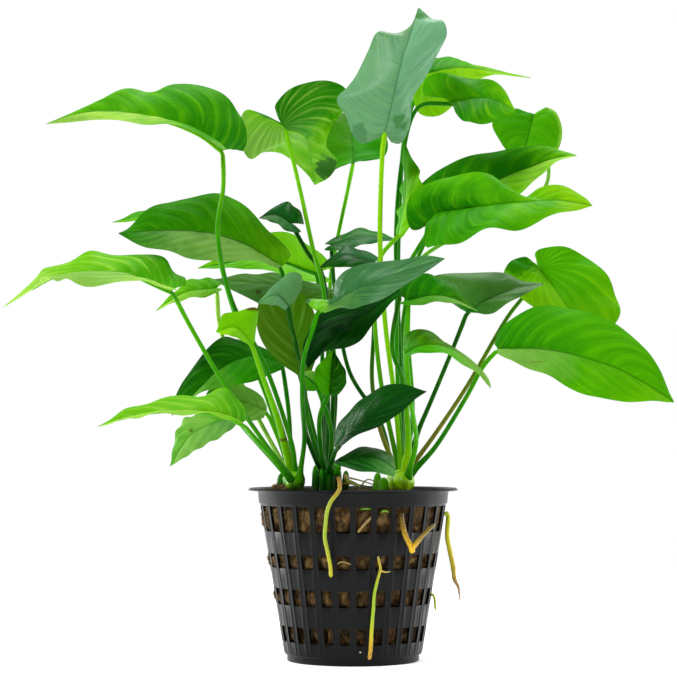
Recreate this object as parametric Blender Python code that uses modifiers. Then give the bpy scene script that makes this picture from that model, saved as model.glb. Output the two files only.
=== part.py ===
"""A potted anubias: a net pot packed with rock wool, three creeping stems and their leaves and roots.

The pot stands on the world's floor with its axis on the origin, +Z up, and the side that is
looked at faces -Y. Lengths in the tables below are in millimetres and become metres when a
mesh is made. A leaf and its stalk grow as one piece, so each pair is one solid.
"""
import math

import bpy
import bmesh
import numpy as np

MM = 0.001
OBJECT_NAME = "potted_anubias"

# Sizes of the net pot, in millimetres
POT_HEIGHT = 77.4
RIM_RADIUS = 47.5
COLLAR_RADIUS = 43.0
FOOT_RADIUS = 29.7
BODY_FOOT_RADIUS = 31.0
FOOT_HEIGHT = 3.6
WALL = 1.2
WINDOW_COLUMNS = 28
# Each row of windows: bottom edge, top edge, and the window's share of one column's width
WINDOW_ROWS = (
    (9.3, 16.4, 0.57),
    (25.9, 33.2, 0.61),
    (42.3, 48.6, 0.67),
    (58.4, 69.7, 0.71),
)
FLOOR_DISC_RADIUS = 14.0

# The rock wool fills the pot and keeps clear of its wall
CLEARANCE = 0.3
WOOL_GAP = 1.75
WOOL_EDGE_TOP = 73.6
WOOL_CENTRE_TOP = 75.1

# The creeping stems lie on the wool and run from front to back
CREEPING_STEMS = {
    "left": dict(path=((-25.5, -26, 80.5), (-27, 0, 81), (-28, 26, 80.5)), radius=4.6),
    "centre": dict(path=((-13, -28, 80.5), (-11, 0, 81), (-12, 28, 80.5)), radius=5.0),
    "right": dict(path=((22, -27, 80.5), (22, 0, 81), (20, 27, 80.5)), radius=5.2),
}

# Leaves
BLADE_THICKNESS = 0.8
LARGE_BLADE = 55.0
STALK_FOOT_RADIUS = 1.35
STALK_TOP_RADIUS = 1.1
STALK_STEP = 28.0
FOOT_RISE = 5.0
RIB_REACH = 0.24
RIB_END_RADIUS = 0.75
RIB_DROP = 0.3

# The eye that the plant was measured from, one metre in front of the pot's axis
EYE_DISTANCE = 1000.0
EYE_HEIGHT = 98.0

# Leaf shapes. A place is (x, y, z) with y the depth, and x and z are read where the eye's line
# to it crosses the plane of the pot's axis. foot is the place along the creeping stem and the
# lean from upright in degrees. stalk runs from there to the blade, spine is the midrib from
# base to tip. An outer edge is either drawn, as (x, z) points from the base to the tip with its
# own depth from the midrib, or plain, as a reach from the midrib to the widest place.
LEAVES = {
    "leaf_top_left": dict(
        crown="left", foot=(-14, 34), tone="fresh",
        stalk=((-28.5, -20, 100), (-40, -38, 133), (-55, -54, 162), (-61.5, -64, 192),
            (-59, -66, 214)),
        spine=((-59, -60, 231), (-69.5, -61, 238.5), (-85.5, -64, 244.5), (-106, -65, 248.5),
            (-124, -65, 248), (-140.5, -62, 243)),
        left_depth=-16,
        left=((-57.5, 231), (-63, 235.5), (-74, 240), (-86, 243), (-100.5, 243.5), (-115, 245)),
        right_depth=16,
        right=((-50, 230.5), (-48.5, 236), (-51.5, 247.5), (-59.5, 257), (-80.5, 261.5),
            (-92, 258.5), (-104.5, 258.5), (-120.5, 251.5)),
    ),
    "leaf_left_big": dict(
        crown="centre", foot=(4, -48), tone="mid",
        stalk=((-22, 0, 120), (-29, -10, 149)),
        spine=((-32, -10, 178), (-51.5, -20, 189), (-72, -26, 194), (-92, -30, 194),
            (-107, -31, 193)),
        left_depth=-14,
        left=((-34, 177), (-47, 180.5), (-69.5, 180.5), (-82, 184.5), (-94.5, 186.5)),
        right_depth=12,
        right=((-28, 183), (-31, 187), (-38, 194), (-47, 204.5), (-58, 210), (-66.5, 211),
            (-81, 208), (-92, 204.5), (-101.5, 196)),
    ),
    "leaf_left_behind": dict(
        crown="left", foot=(16, -34), tone="fresh",
        stalk=((-38, 26, 115), (-55, 36, 160)),
        spine=((-63, 34, 192), (-88, 31, 201), (-110, 23, 198)),
        left_reach=(0, -10, -5),
        right_reach=(0, 12, 6),
        lobe=0.1, widest=0.36,
    ),
    "leaf_left_lime_behind": dict(
        crown="centre", foot=(18, -20), tone="lime",
        stalk=((-14, 29, 120), (-14, 39, 150)),
        spine=((-16, 44, 175), (-41, 55, 182), (-71, 57, 177)),
        left_reach=(2, -13, 12),
        right_reach=(0, 13, -6),
        lobe=0.12, widest=0.36,
    ),
    "leaf_far_left": dict(
        crown="left", foot=(-22, -44), tone="lime",
        stalk=((-41, -28, 99), (-60, -47, 127), (-74, -49, 151)),
        spine=((-82, -44, 167), (-90, -44, 170), (-103.5, -47, 175), (-117, -48, 175.5),
            (-135.5, -49, 173), (-159.5, -52, 159)),
        left_depth=-13,
        left=((-79.5, 166.5), (-88, 169.5), (-97, 171.5), (-112, 170), (-126, 170), (-133, 172.5),
            (-140, 171.5), (-149, 167)),
        right_depth=13,
        right=((-76, 169), (-77, 173), (-82, 177), (-88, 181.5), (-98, 184.5), (-113, 184),
            (-126.5, 182.5), (-138, 176.5), (-145.5, 172)),
    ),
    "leaf_small_lime": dict(
        crown="left", foot=(6, -48), tone="lime",
        stalk=((-47, 8, 117), (-59.5, 13, 147)),
        spine=((-62, 10, 168), (-76, 8, 166), (-90, 5, 157.5)),
        left_reach=(0, -6, -4),
        right_reach=(0, 6, 6),
        lobe=0.1, widest=0.36,
    ),
    "leaf_lime_brown_edge": dict(
        crown="left", foot=(-6, -10), tone="lime",
        stalk=((-34, -26, 108), (-41, -46, 128)),
        spine=((-45.5, -58, 142), (-53, -66, 150), (-62.3, -69, 148)),
        left_depth=-5,
        left=((-49, 143.5), (-53, 145.5), (-57.5, 146.5)),
        right_depth=2,
        right=((-44.7, 145.5), (-44, 152.5), (-43.5, 158.5), (-46.8, 159.3), (-53.2, 157.3),
            (-59, 156), (-60.7, 152)),
    ),
    "leaf_grey_folded": dict(
        crown="centre", foot=(-19, -34), tone="glaucous",
        stalk=((-22, -39, 105), (-23, -55, 128), (-28, -65, 151)),
        spine=((-29, -68, 160), (-35, -75, 165), (-43.5, -81, 161)),
        left_depth=-4,
        left=((-31, 158), (-34, 160), (-38, 160.3)),
        right_depth=5,
        right=((-26, 162.5), (-23.6, 168), (-23, 173.5), (-29, 175), (-33.5, 171.5), (-39, 166)),
    ),
    "leaf_olive_behind": dict(
        crown="centre", foot=(-4, -46), tone="olive",
        stalk=((-20.5, -10, 108),),
        spine=((-22, -16, 126), (-28, -18, 146), (-33, -18, 169)),
        left_depth=-4,
        left=((-26, 129), (-33, 134), (-40, 141.5), (-43.5, 150), (-43.5, 159), (-39.5, 166)),
        right_depth=2,
        right=((-19, 129), (-17, 137), (-16, 147), (-17.5, 157), (-23, 165.5)),
    ),
    "leaf_grey_green_under": dict(
        crown="centre", foot=(10, -10), tone="pale",
        stalk=((-12.5, 16, 117), (-10.5, 16, 144)),
        spine=((-9.5, 13, 166), (-37, 16, 169.5), (-64, 18, 172)),
        left_reach=(2, -9, -11),
        right_reach=(0, 9, 6),
        lobe=0.06, widest=0.48,
    ),
    "leaf_dark_mid_left": dict(
        crown="left", foot=(0, -24), tone="mid",
        stalk=((-29, 3, 110),),
        spine=((-32, 4, 134.5), (-47, -1, 137), (-60.5, -6, 131), (-69.5, -9, 122),
            (-82, -10, 110)),
        left_depth=-9,
        left=((-31, 131.5), (-41.5, 127), (-51.5, 124), (-63.5, 122.5), (-73, 117)),
        right_depth=8,
        right=((-32, 137.5), (-41.5, 141), (-51.5, 145), (-58, 146), (-64, 142), (-71, 135),
            (-77, 125), (-81.5, 117)),
    ),
    "leaf_lower_left_lime": dict(
        crown="left", foot=(-25, -58), tone="lime",
        stalk=((-38, -38, 93), (-44.5, -46, 100)),
        spine=((-50, -65, 107), (-58, -68, 110), (-69.5, -72, 112), (-87.5, -75, 112),
            (-103.5, -78, 109), (-116, -81, 105)),
        left_depth=-12,
        left=((-51.5, 106.5), (-56, 108.5), (-67, 110.5), (-81, 111), (-94.5, 110), (-106, 107.5)),
        right_depth=14,
        right=((-47.5, 107.5), (-48.5, 112.5), (-53, 119), (-60, 122), (-72, 119), (-87.5, 117.5),
            (-99, 114.5), (-107.5, 110)),
    ),
    "leaf_hanging_grey": dict(
        crown="left", foot=(-10, -62), tone="pale",
        stalk=((-44.5, -16, 99),),
        spine=((-54, -26, 110), (-72, -31, 102.5), (-83, -34, 87)),
        left_reach=(5, -6, -6),
        right_reach=(-6, 6, 5),
        lobe=0.08, widest=0.42,
    ),
    "leaf_pale_lower_left": dict(
        crown="left", foot=(12, -30), tone="pale",
        stalk=((-33, 6, 98),),
        spine=((-39, 3, 112.5), (-52, -2, 117), (-67, -5, 118.5)),
        left_depth=-5,
        left=((-40.5, 109), (-46, 107.8), (-52, 109), (-60, 113)),
        right_depth=4,
        right=((-39.3, 115.5), (-41.1, 118.2), (-46.8, 123), (-54.8, 124.3), (-60.4, 123.7),
            (-65.6, 121.4)),
    ),
    "leaf_top_heart": dict(
        crown="centre", foot=(-8, 4), tone="lime",
        stalk=((-11.4, -10, 117), (-11.4, -13, 144), (-13.6, -13, 168), (-18, -8, 185),
            (-23, 0, 208), (-27.7, 8, 228)),
        spine=((-31, 13, 241), (-24, 26, 238.5), (-20, 47, 231), (-17.3, 75, 215)),
        left_depth=-8,
        left=((-40, 245.5), (-48, 249.5), (-51.5, 245), (-51, 235), (-47, 227), (-41.5, 230.5),
            (-33, 229.5), (-26, 225), (-20.5, 219)),
        right_depth=-8,
        right=((-34, 248), (-35, 252), (-29.5, 259), (-20.5, 262.5), (-11.5, 263), (-3.5, 259),
            (-3, 251.5), (-9.5, 242), (-12, 232.5), (-7.5, 225.5), (-10, 219.5)),
    ),
    "leaf_behind_top": dict(
        crown="centre", foot=(22, 18), tone="olive",
        stalk=((-8, 44, 117), (-9, 60, 144), (-10.5, 70, 167), (-8.6, 74, 183), (-3, 79, 210)),
        spine=((0, 83, 225), (-0.5, 96, 237.5), (-1.5, 109, 250)),
        left_depth=-4,
        left=((-7, 223), (-12.5, 219), (-16.5, 221.5), (-16, 231), (-12.5, 240), (-7, 246.5)),
        right_depth=4,
        right=((5.5, 226), (12.5, 227), (15.5, 230.5), (14.5, 240), (8, 246.5)),
    ),
    "leaf_top_glaucous": dict(
        crown="right", foot=(-10, -8), tone="glaucous", stem=1.3,
        stalk=((19, -23, 117), (14.5, -26, 153), (12.3, -29, 190), (13.2, -29, 226)),
        spine=((14.5, -26, 238.5), (17.5, -29, 251), (20.5, -29, 265), (23.5, -26, 276),
            (26.5, -21, 285), (30, -13, 296.5)),
        left_depth=6,
        left=((11, 236.5), (4, 234.5), (-0.5, 239), (-3.5, 246.5), (-7, 253.5), (-3.5, 259),
            (1.5, 267), (7, 277.5), (11.5, 284.5), (19, 285), (26.5, 288)),
        right_depth=8,
        right=((17.5, 234.5), (21.5, 234.5), (25, 240), (27, 246.5), (27.5, 254.5), (30.5, 261.5),
            (36.5, 270.5), (40.5, 277.5), (42.5, 284), (41, 290.5), (35.5, 292.5)),
    ),
    "leaf_thin_top_right": dict(
        crown="right", foot=(20, 0), tone="lime",
        stalk=((21, 34, 117), (20.5, 36, 171), (21.4, 34, 208), (24, 31, 240)),
        spine=((32.5, 34, 266), (48.5, 47, 269), (64.5, 60, 267), (81.5, 68, 264)),
        left_depth=10,
        left=((32.5, 270), (37.5, 273.5), (43, 273.5), (51, 271), (64.5, 267.5)),
        right_depth=-10,
        right=((28, 260), (27.5, 253), (31, 247.5), (38, 246.5), (45, 251), (54, 261),
            (63, 265), (71.5, 265)),
    ),
    "leaf_right_top": dict(
        crown="right", foot=(8, 6), tone="fresh",
        stalk=((22, 16, 112), (21, 18, 144), (19.5, 16, 190), (22.3, 13, 226), (29, 10, 250)),
        spine=((44, 5, 253), (57, 1, 255), (67, -3, 253.5), (74.5, -8, 248)),
        left_depth=12,
        left=((39.5, 255.5), (32.5, 257), (32.5, 263.5), (39.5, 266), (49.5, 264.5), (61, 263.5),
            (69, 259)),
        right_depth=-10,
        right=((45.5, 251.5), (47.5, 247), (51.5, 244), (57.5, 243), (67, 244.5)),
    ),
    "leaf_right_upper_lime": dict(
        crown="right", foot=(24, 26), tone="lime",
        stalk=((24, 44, 112), (24, 55, 150), (28, 65, 178), (55, 75, 196), (84, 73, 210),
            (89, 65, 226)),
        spine=((82.5, 60, 247.5), (80.5, 56, 240), (78, 51, 230.5), (76, 44, 221.5)),
        left_depth=3,
        left=((85.5, 249), (89, 250.5), (92.5, 248), (95.5, 239), (93, 230.5), (85, 224)),
        right_depth=3,
        right=((79.5, 248), (73.5, 250), (67, 247.5), (63.5, 242.5), (67, 235), (71.5, 228.5)),
    ),
    "leaf_right_mid_upper": dict(
        crown="right", foot=(14, 22), tone="fresh",
        stalk=((23, 26, 112), (22, 31, 144), (26, 34, 172), (33, 34, 190)),
        spine=((39.5, 34, 206), (57.5, 30, 213.5), (76, 26, 221.5), (92, 21, 227),
            (102, 18, 228.5)),
        left_depth=10,
        left=((36, 206.5), (29.5, 210), (30.5, 215), (38.5, 221.5), (53, 228), (69, 231.5),
            (85, 232.5), (96.5, 230.5)),
        right_depth=-11,
        right=((42, 201), (53, 202.5), (67, 205.5), (77.5, 211.5), (85, 219.5), (94, 226)),
    ),
    "leaf_right_big": dict(
        crown="right", foot=(-4, 8), tone="fresh",
        stalk=((20.5, -5, 117), (20, -10, 162), (25, -18, 178), (33, -23, 192)),
        spine=((38, -26, 202.5), (55.5, -34, 205), (73.5, -39, 207), (92, -44, 208),
            (109, -47, 205.5)),
        left_depth=11,
        left=((35, 203), (29, 199.5), (25, 204), (28.5, 212), (36, 216.5), (46.5, 220),
            (57, 220.5), (67, 216), (76, 210), (85, 213.5), (96.5, 214), (104.5, 210.5)),
        right_depth=-13,
        right=((35, 200), (33, 195), (32.5, 188), (37, 186.5), (46.5, 188.5), (61, 194.5),
            (74.5, 194), (87.5, 200.5), (98.5, 202.5)),
    ),
    "leaf_right_heart": dict(
        crown="right", foot=(12, 52), tone="fresh",
        stalk=((38, 16, 103), (52, 29, 124), (69, 36, 153), (78, 39, 165)),
        spine=((85, 34, 176), (90.5, 29, 169.5), (96.5, 22, 160.5), (107.5, 16, 146.5)),
        left_depth=4,
        left=((83.5, 180), (83.5, 184.5), (88.5, 187), (97.5, 186), (107.5, 181.5), (115.5, 173),
            (119.5, 165), (121, 157), (118, 151)),
        right_depth=-4,
        right=((81.5, 179.5), (77.5, 182), (72, 180.5), (68.5, 174.5), (72.5, 167), (80.5, 160.5),
            (89.5, 153.5)),
    ),
    "leaf_right_glaucous": dict(
        crown="right", foot=(-2, 34), tone="glaucous",
        stalk=((29.5, -2, 103), (35, -5, 116), (43, -8, 135), (48.6, -10, 149)),
        spine=((51.4, -13, 157), (60, -14, 162.5), (73.5, -13, 167.5), (87, -10, 170)),
        left_depth=9,
        left=((47, 160), (39.5, 165), (35.5, 170.5), (38, 173.5), (51, 175.5), (67, 175),
            (76, 171.5)),
        right_depth=-6,
        right=((55, 157), (61, 156), (67, 158.5), (73.5, 163), (81.5, 167)),
    ),
    "leaf_right_lower_big": dict(
        crown="right", foot=(-12, 56), tone="fresh",
        stalk=((38, -18, 97), (51, -31, 118), (58.6, -34, 132)),
        spine=((65.5, -36, 140.5), (80.5, -42, 140.5), (96.5, -46, 138.5), (117, -49, 132.5),
            (132.5, -51, 124.5), (145.5, -52, 116)),
        left_depth=10,
        left=((64, 142.5), (67, 149), (73.5, 155.5), (85, 159.5), (96.5, 159.5), (110, 155.5),
            (122.5, 150), (132.5, 140), (140.5, 127)),
        right_depth=-9,
        right=((66, 138), (72.5, 134.5), (87.5, 128.5), (97.5, 123), (109, 118.5), (123.5, 116.5),
            (136, 116.5)),
    ),
    "leaf_centre_front": dict(
        crown="left", foot=(-24, 60), tone="glaucous",
        stalk=((-22, -38, 100), (-23, -62, 117), (-22.5, -70, 135), (-18.5, -73, 149)),
        spine=((-16.5, -75, 157.5), (-8, -78, 162), (5.5, -83, 169.5), (23.5, -87, 176),
            (42, -91, 181.5)),
        left_depth=8,
        left=((-19.5, 159.8), (-21.3, 162.4), (-16, 163), (-9.8, 163.6), (-7.8, 170.5),
            (-1.5, 177), (7.5, 180), (21.5, 180.5), (32.5, 183)),
        right_depth=-8,
        right=((-13, 156.8), (-6, 158.8), (1, 159), (10, 161.5), (19, 166.5), (30.5, 173.5)),
    ),
    "leaf_dark_glossy": dict(
        crown="right", foot=(-18, 26), tone="dark",
        stalk=((25, -28, 99), (23, -47, 124), (17.7, -55, 142)),
        spine=((21.5, -57, 167), (8.5, -60, 158), (-6, -62, 149), (-20.5, -62, 131.5)),
        left_depth=-6,
        left=((21.5, 164.5), (16, 160), (10, 152.5), (4, 144.5), (-3.5, 141), (-12.5, 139)),
        right_depth=6,
        right=((19, 168.5), (10, 164), (-1.5, 160.5), (-10.5, 159), (-17, 153.5), (-21.5, 146),
            (-22.5, 137.5)),
    ),
    "leaf_drooping_right": dict(
        crown="right", foot=(-24, 48), tone="fresh",
        stalk=((28.6, -38, 99), (26, -62, 117)),
        spine=((23.5, -70, 138.5), (32.5, -78, 142), (44, -83, 140.5), (53, -87, 133.5),
            (62.5, -88, 122.5)),
        left_depth=8,
        left=((22.5, 142), (25, 147.5), (29, 149.5), (36.5, 147), (45, 141.5), (53, 135.5),
            (61.5, 127)),
        right_depth=-9,
        right=((25, 137), (30.5, 138.5), (39.5, 138.5), (46.5, 135.5), (53, 131.5), (59, 126)),
    ),
    "leaf_right_mid": dict(
        crown="right", foot=(-8, 18), tone="fresh",
        stalk=((27, -21, 112), (25, -29, 144)),
        spine=((25, -31, 162.5), (41, -36, 164.5), (57, -39, 157.5)),
        left_reach=(-3, 8, 10),
        right_reach=(0, -6, -3.5),
        lobe=0.12, widest=0.34,
    ),
    "leaf_dark_front": dict(
        crown="centre", foot=(-28, 22), tone="dark",
        stalk=((-9.5, -39, 90),),
        spine=((-8, -65, 95.5), (-0.5, -72, 104.5), (12.5, -79, 113.5), (33.5, -88, 121)),
        left_depth=8,
        left=((-9, 97.5), (-6, 107), (2, 115.5), (11, 122), (21.5, 124.5)),
        right_depth=-8,
        right=((-6, 96), (2.5, 101.5), (12.5, 105.5), (21.5, 111.5), (29, 118)),
    ),
    "leaf_small_bottom": dict(
        crown="centre", foot=(-22, 58), tone="dark",
        stalk=((-6.5, -38, 86.5),),
        spine=((-8.5, -50, 88.8), (2, -58, 91.2), (12, -66, 90.5), (19.3, -71, 85.5)),
        left_depth=6,
        left=((-4, 92), (2.9, 95.8), (9.4, 95.6), (14, 94.2), (18.2, 91)),
        right_depth=-6,
        right=((-4, 86.8), (2.8, 85), (9.4, 84.6), (14, 83.6), (18.2, 82.8)),
    ),
    "leaf_small_dark": dict(
        crown="centre", foot=(0, 14), tone="dark",
        stalk=((-9, -4, 126), (-11, -5, 153), (-14, -5, 174), (-20.5, -5, 184), (-25.5, -5, 193)),
        spine=((-28, -5, 197.5), (-35.5, -10, 201.5), (-43, -16, 200)),
        left_reach=(0, -5, -5),
        right_reach=(4, 6, 7),
        lobe=0.3, widest=0.36,
    ),
    "leaf_centre_dark_upper": dict(
        crown="right", foot=(22, -30), tone="dark",
        stalk=((12, 42, 108), (-2, 49, 131), (-8, 55, 165)),
        spine=((-10, 57, 187.5), (5.5, 62, 191.5), (21.4, 68, 190)),
        left_reach=(0, 8, 5),
        right_reach=(0, -7, -5),
        lobe=0.1, widest=0.36,
    ),
    "leaf_centre_dark_lower": dict(
        crown="right", foot=(4, -36), tone="dark",
        stalk=((12, 8, 105), (8.6, 10, 126), (9.5, 10, 150)),
        spine=((10, 8, 180), (-3.6, 3, 182.5), (-16, -3, 177)),
        left_reach=(0, -6, -6),
        right_reach=(0, 7, 5),
        lobe=0.1, widest=0.36,
    ),
    "leaf_tall_wavy": dict(
        crown="right", foot=(-2, -22), tone="lime",
        stalk=((12.5, -8, 126), (9.5, -10, 162), (12, -5, 181)),
        spine=((20.5, 0, 192.5), (24, 0, 212.5), (23, 3, 236)),
        left_reach=(-1.5, 7, 0),
        right_reach=(8.5, -9, 0),
        lobe=0.05, widest=0.4,
    ),
    "leaf_young_folded": dict(
        crown="centre", foot=(-19, -4), tone="mid",
        stalk=((-15, -24, 98), (-15, -38, 110)),
        spine=((-10.5, -44, 120.5), (-10, -49, 130), (-9, -52, 140)),
        left_reach=(-7, -5, 1),
        right_reach=(7, -5, -1),
        lobe=0.1, widest=0.4,
    ),
    "leaf_pale_small": dict(
        crown="centre", foot=(-12, 26), tone="pale",
        stalk=((-10, -21, 104),),
        spine=((-16, -23, 123.5), (-20, -26, 127), (-24.5, -29, 129.5)),
        left_reach=(3, -4, 3.5),
        right_reach=(-3, 4, -3.5),
        lobe=0.1, widest=0.36,
    ),
}


# Roots outside the wool: name, tone, radius at the start and end, and the route
ROOTS = {
    "root_over_rim": dict(
        tone="root", start=0.95, end=0.85,
        route=((-6.5, -36, 82.5), (-6, -43, 81.5), (-6, -48.6, 77.5), (-9.5, -48.8, 72.6), (-11.2, -47, 68),
            (-11.8, -45.5, 63), (-12.2, -44, 57), (-11, -42.5, 50.6), (-9.8, -41.8, 44.4),
            (-9.6, -41.2, 39.6)),
    ),
    "root_arching": dict(
        tone="root", start=0.9, end=0.8,
        route=((-3.5, -35.5, 83.5), (-2.2, -39.5, 81.5), (3, -44, 79)),
    ),
    "root_long_front": dict(
        tone="root_green", start=0.5, end=0.95,
        route=((10.9, -37.2, 48.2), (11.3, -39, 46), (11.8, -40.2, 43), (10.5, -39.6, 38), (9.2, -38.6, 32),
            (8.8, -37.4, 26), (8.3, -36.2, 20), (7.9, -35, 14), (7.6, -34.2, 8), (7, -34, 3.4)),
    ),
    "root_orange_fork": dict(
        tone="root_orange", start=1.0, end=1.3,
        route=((21, -35.3, 66.5), (21.6, -36.8, 62), (22.8, -38, 57.5), (25, -38, 53), (26, -36.6, 50)),
    ),
    "root_right_side": dict(
        tone="root_green", start=1.0, end=0.35,
        route=((41.4, -3.2, 66.4), (42.8, -3, 64.4), (42.4, -3, 56), (43.6, -3, 49), (45, -3, 42),
            (45.6, -3, 36.6), (47.4, -3, 32.6), (48.2, -3, 26)),
    ),
    "root_small_side": dict(
        tone="root_green", start=0.7, end=0.5,
        route=((34.4, -5, 30.2), (36.4, -5, 28.6), (37, -5, 22.4)),
    ),
}

# Colour and roughness of each surface
TONES = {
    "fresh": ("#5DB31F", 0.40),
    "mid": ("#3F8A1E", 0.40),
    "lime": ("#8CC63F", 0.42),
    "pale": ("#7FA867", 0.50),
    "olive": ("#56802A", 0.45),
    "glaucous": ("#6F9A6C", 0.38),
    "dark": ("#1F5A1C", 0.30),
    "creeping_stem": ("#7FA62E", 0.45),
    "root": ("#A89232", 0.50),
    "root_green": ("#A6BF2E", 0.45),
    "root_orange": ("#D99A12", 0.45),
    "wool": ("#6B4F2A", 0.95),
    "pot": ("#3D3F42", 0.50),
}


def linear(channel):
    """One sRGB channel, 0 to 1, as linear light."""
    if channel <= 0.04045:
        return channel / 12.92
    return ((channel + 0.055) / 1.055) ** 2.4


def paint(obj, tone):
    """Gives the object a material of its own in one of the tones."""
    colour, roughness = TONES[tone]
    levels = [int(colour[i:i + 2], 16) / 255 for i in (1, 3, 5)]
    material = bpy.data.materials.new(obj.name)
    material.use_nodes = True
    shader = material.node_tree.nodes["Principled BSDF"]
    shader.inputs["Base Color"].default_value = (*[linear(v) for v in levels], 1.0)
    shader.inputs["Roughness"].default_value = roughness
    shader.inputs["Metallic"].default_value = 0.0
    obj.data.materials.clear()
    obj.data.materials.append(material)


def new_object(name, data, collection):
    """An object at the origin that shows the mesh or curve."""
    obj = bpy.data.objects.new(name, data)
    collection.objects.link(obj)
    return obj


def mesh_from(name, points, faces):
    """A mesh from points in millimetres, with its faces turned outward."""
    mesh = bpy.data.meshes.new(name)
    mesh.from_pydata([tuple(float(v) * MM for v in p) for p in points], [], faces)
    shape = bmesh.new()
    shape.from_mesh(mesh)
    bmesh.ops.recalc_face_normals(shape, faces=shape.faces)
    shape.to_mesh(mesh)
    shape.free()
    return mesh


def seen(place):
    """Where a place of the tables is: on the eye's line, at its depth."""
    x, y, z = place
    scale = 1 + y / EYE_DISTANCE
    return np.array((x * scale, y, EYE_HEIGHT + (z - EYE_HEIGHT) * scale))


def smooth(points, share):
    """The place at a share, 0 to 1, of a smooth line through the points."""
    p = [np.asarray(q, float) for q in points]
    spans = len(p) - 1
    p = [2 * p[0] - p[1]] + p + [2 * p[-1] - p[-2]]
    if share < 0:
        return p[1] + (p[2] - p[0]) / 2 * share * spans
    i = min(int(share * spans), spans - 1)
    s = share * spans - i
    a, b, c, d = p[i:i + 4]
    bend = (2 * a - 5 * b + 4 * c - d) * s ** 2 + (3 * b - a - 3 * c + d) * s ** 3
    return 0.5 * (2 * b + (c - a) * s + bend)


def unit(vector):
    """The vector at length one, or nothing where it has no length."""
    length = np.linalg.norm(vector)
    return vector / length if length > 1e-6 else np.zeros(3)


def plain_width(leaf, share):
    """A plain blade's half width at a share of its length, as a share of its reach."""
    power = math.log(0.5) / math.log(leaf["widest"])
    bow = max(0.0, math.sin(math.pi * share ** power)) ** 1.1
    shoulder = 0.3 * min(1.0, leaf["lobe"] * 5 + 0.4) * (1 - share) ** 8
    return min(1.0, bow + shoulder)


def edge_point(leaf, side, share, spine):
    """The place on one outer edge at a share of the way from base to tip."""
    if side in leaf:
        tip = (leaf["spine"][-1][0], leaf["spine"][-1][2])
        x, z = smooth(leaf[side] + (tip,), share)
        depth = smooth(leaf["spine"], share ** 1.15)[1]
        depth += leaf[side + "_depth"] * math.sin(math.pi * (0.15 + 0.85 * share))
        return seen((x, depth, z))
    along = share - leaf["lobe"] * (1 - share) ** 2.5
    return smooth(spine, along) + np.array(leaf[side + "_reach"], float) * plain_width(leaf, share)


def blade_grid(leaf, rows, halves):
    """Rows of places across the blade, from the left edge over the midrib to the right edge."""
    spine = [seen(p) for p in leaf["spine"]]
    grid = []
    for i in range(rows + 1):
        share = i / rows
        rib = share ** 1.15
        centre = smooth(spine, rib)
        run = unit(smooth(spine, min(1.0, rib + 0.03)) - smooth(spine, rib - 0.03))
        row = []
        for j in range(-halves, halves + 1):
            out = abs(j) / halves
            side = "left" if j < 0 else "right"
            span = edge_point(leaf, side, share, spine) - centre
            up = np.cross(span, run) if j > 0 else np.cross(run, span)
            crown = 0.06 * np.linalg.norm(up) * 4 * out * (1 - out)
            row.append(centre + span * out + unit(up) * crown)
        grid.append(row)
    return grid


def blade_length(leaf):
    """The straight distance from a blade's base to its tip."""
    return np.linalg.norm(seen(leaf["spine"][-1]) - seen(leaf["spine"][0]))


def blade_mesh(name, leaf):
    """The open sheet of a blade, closed to one point at its tip."""
    large = blade_length(leaf) > LARGE_BLADE
    rows, halves = (6, 2) if large else (5, 1)
    grid = blade_grid(leaf, rows, halves)
    width = 2 * halves + 1
    points = [p for row in grid[:-1] for p in row] + [grid[-1][halves]]
    tip = len(points) - 1
    faces = []
    for i in range(rows - 1):
        for j in range(width - 1):
            a = i * width + j
            faces.append((a, a + 1, a + width + 1, a + width))
    last = (rows - 1) * width
    faces += [(last + j, last + j + 1, tip) for j in range(width - 1)]
    return mesh_from(name, points, faces)


def stem_foot(leaf):
    """Where a stalk starts, just clear of its creeping stem, and which way it sets off."""
    along, lean = leaf["foot"]
    stem = CREEPING_STEMS[leaf["crown"]]
    first, last = stem["path"][0][1], stem["path"][-1][1]
    axis = smooth(stem["path"], (along - first) / (last - first))
    way = np.array((math.sin(math.radians(lean)), 0.0, math.cos(math.radians(lean))))
    return axis + way * (stem["radius"] + CLEARANCE + 0.1), way


def stalk_points(leaf):
    """The stalk's axis from its foot to part way along the midrib, and its radius there."""
    foot, way = stem_foot(leaf)
    route = [foot, foot + way * FOOT_RISE] + [seen(p) for p in leaf["stalk"]] + [seen(leaf["spine"][0])]
    length = sum(np.linalg.norm(b - a) for a, b in zip(route, route[1:]))
    steps = max(3, round(length / STALK_STEP))
    top = leaf.get("stem", STALK_TOP_RADIUS)
    shares = [0.0] + [(i / steps) for i in range(1, steps + 1)]
    points = [(smooth(route, s), STALK_FOOT_RADIUS + (top - STALK_FOOT_RADIUS) * s) for s in shares]
    spine = [seen(p) for p in leaf["spine"]]
    run = unit(smooth(spine, 0.1) - spine[0])
    across = edge_point(leaf, "right", 0.3, spine) - edge_point(leaf, "left", 0.3, spine)
    below = -RIB_DROP * unit(np.cross(across, run))
    points[-1] = (points[-1][0] + below, top)
    points.append((smooth(spine, RIB_REACH) + below, RIB_END_RADIUS))
    return points


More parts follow.
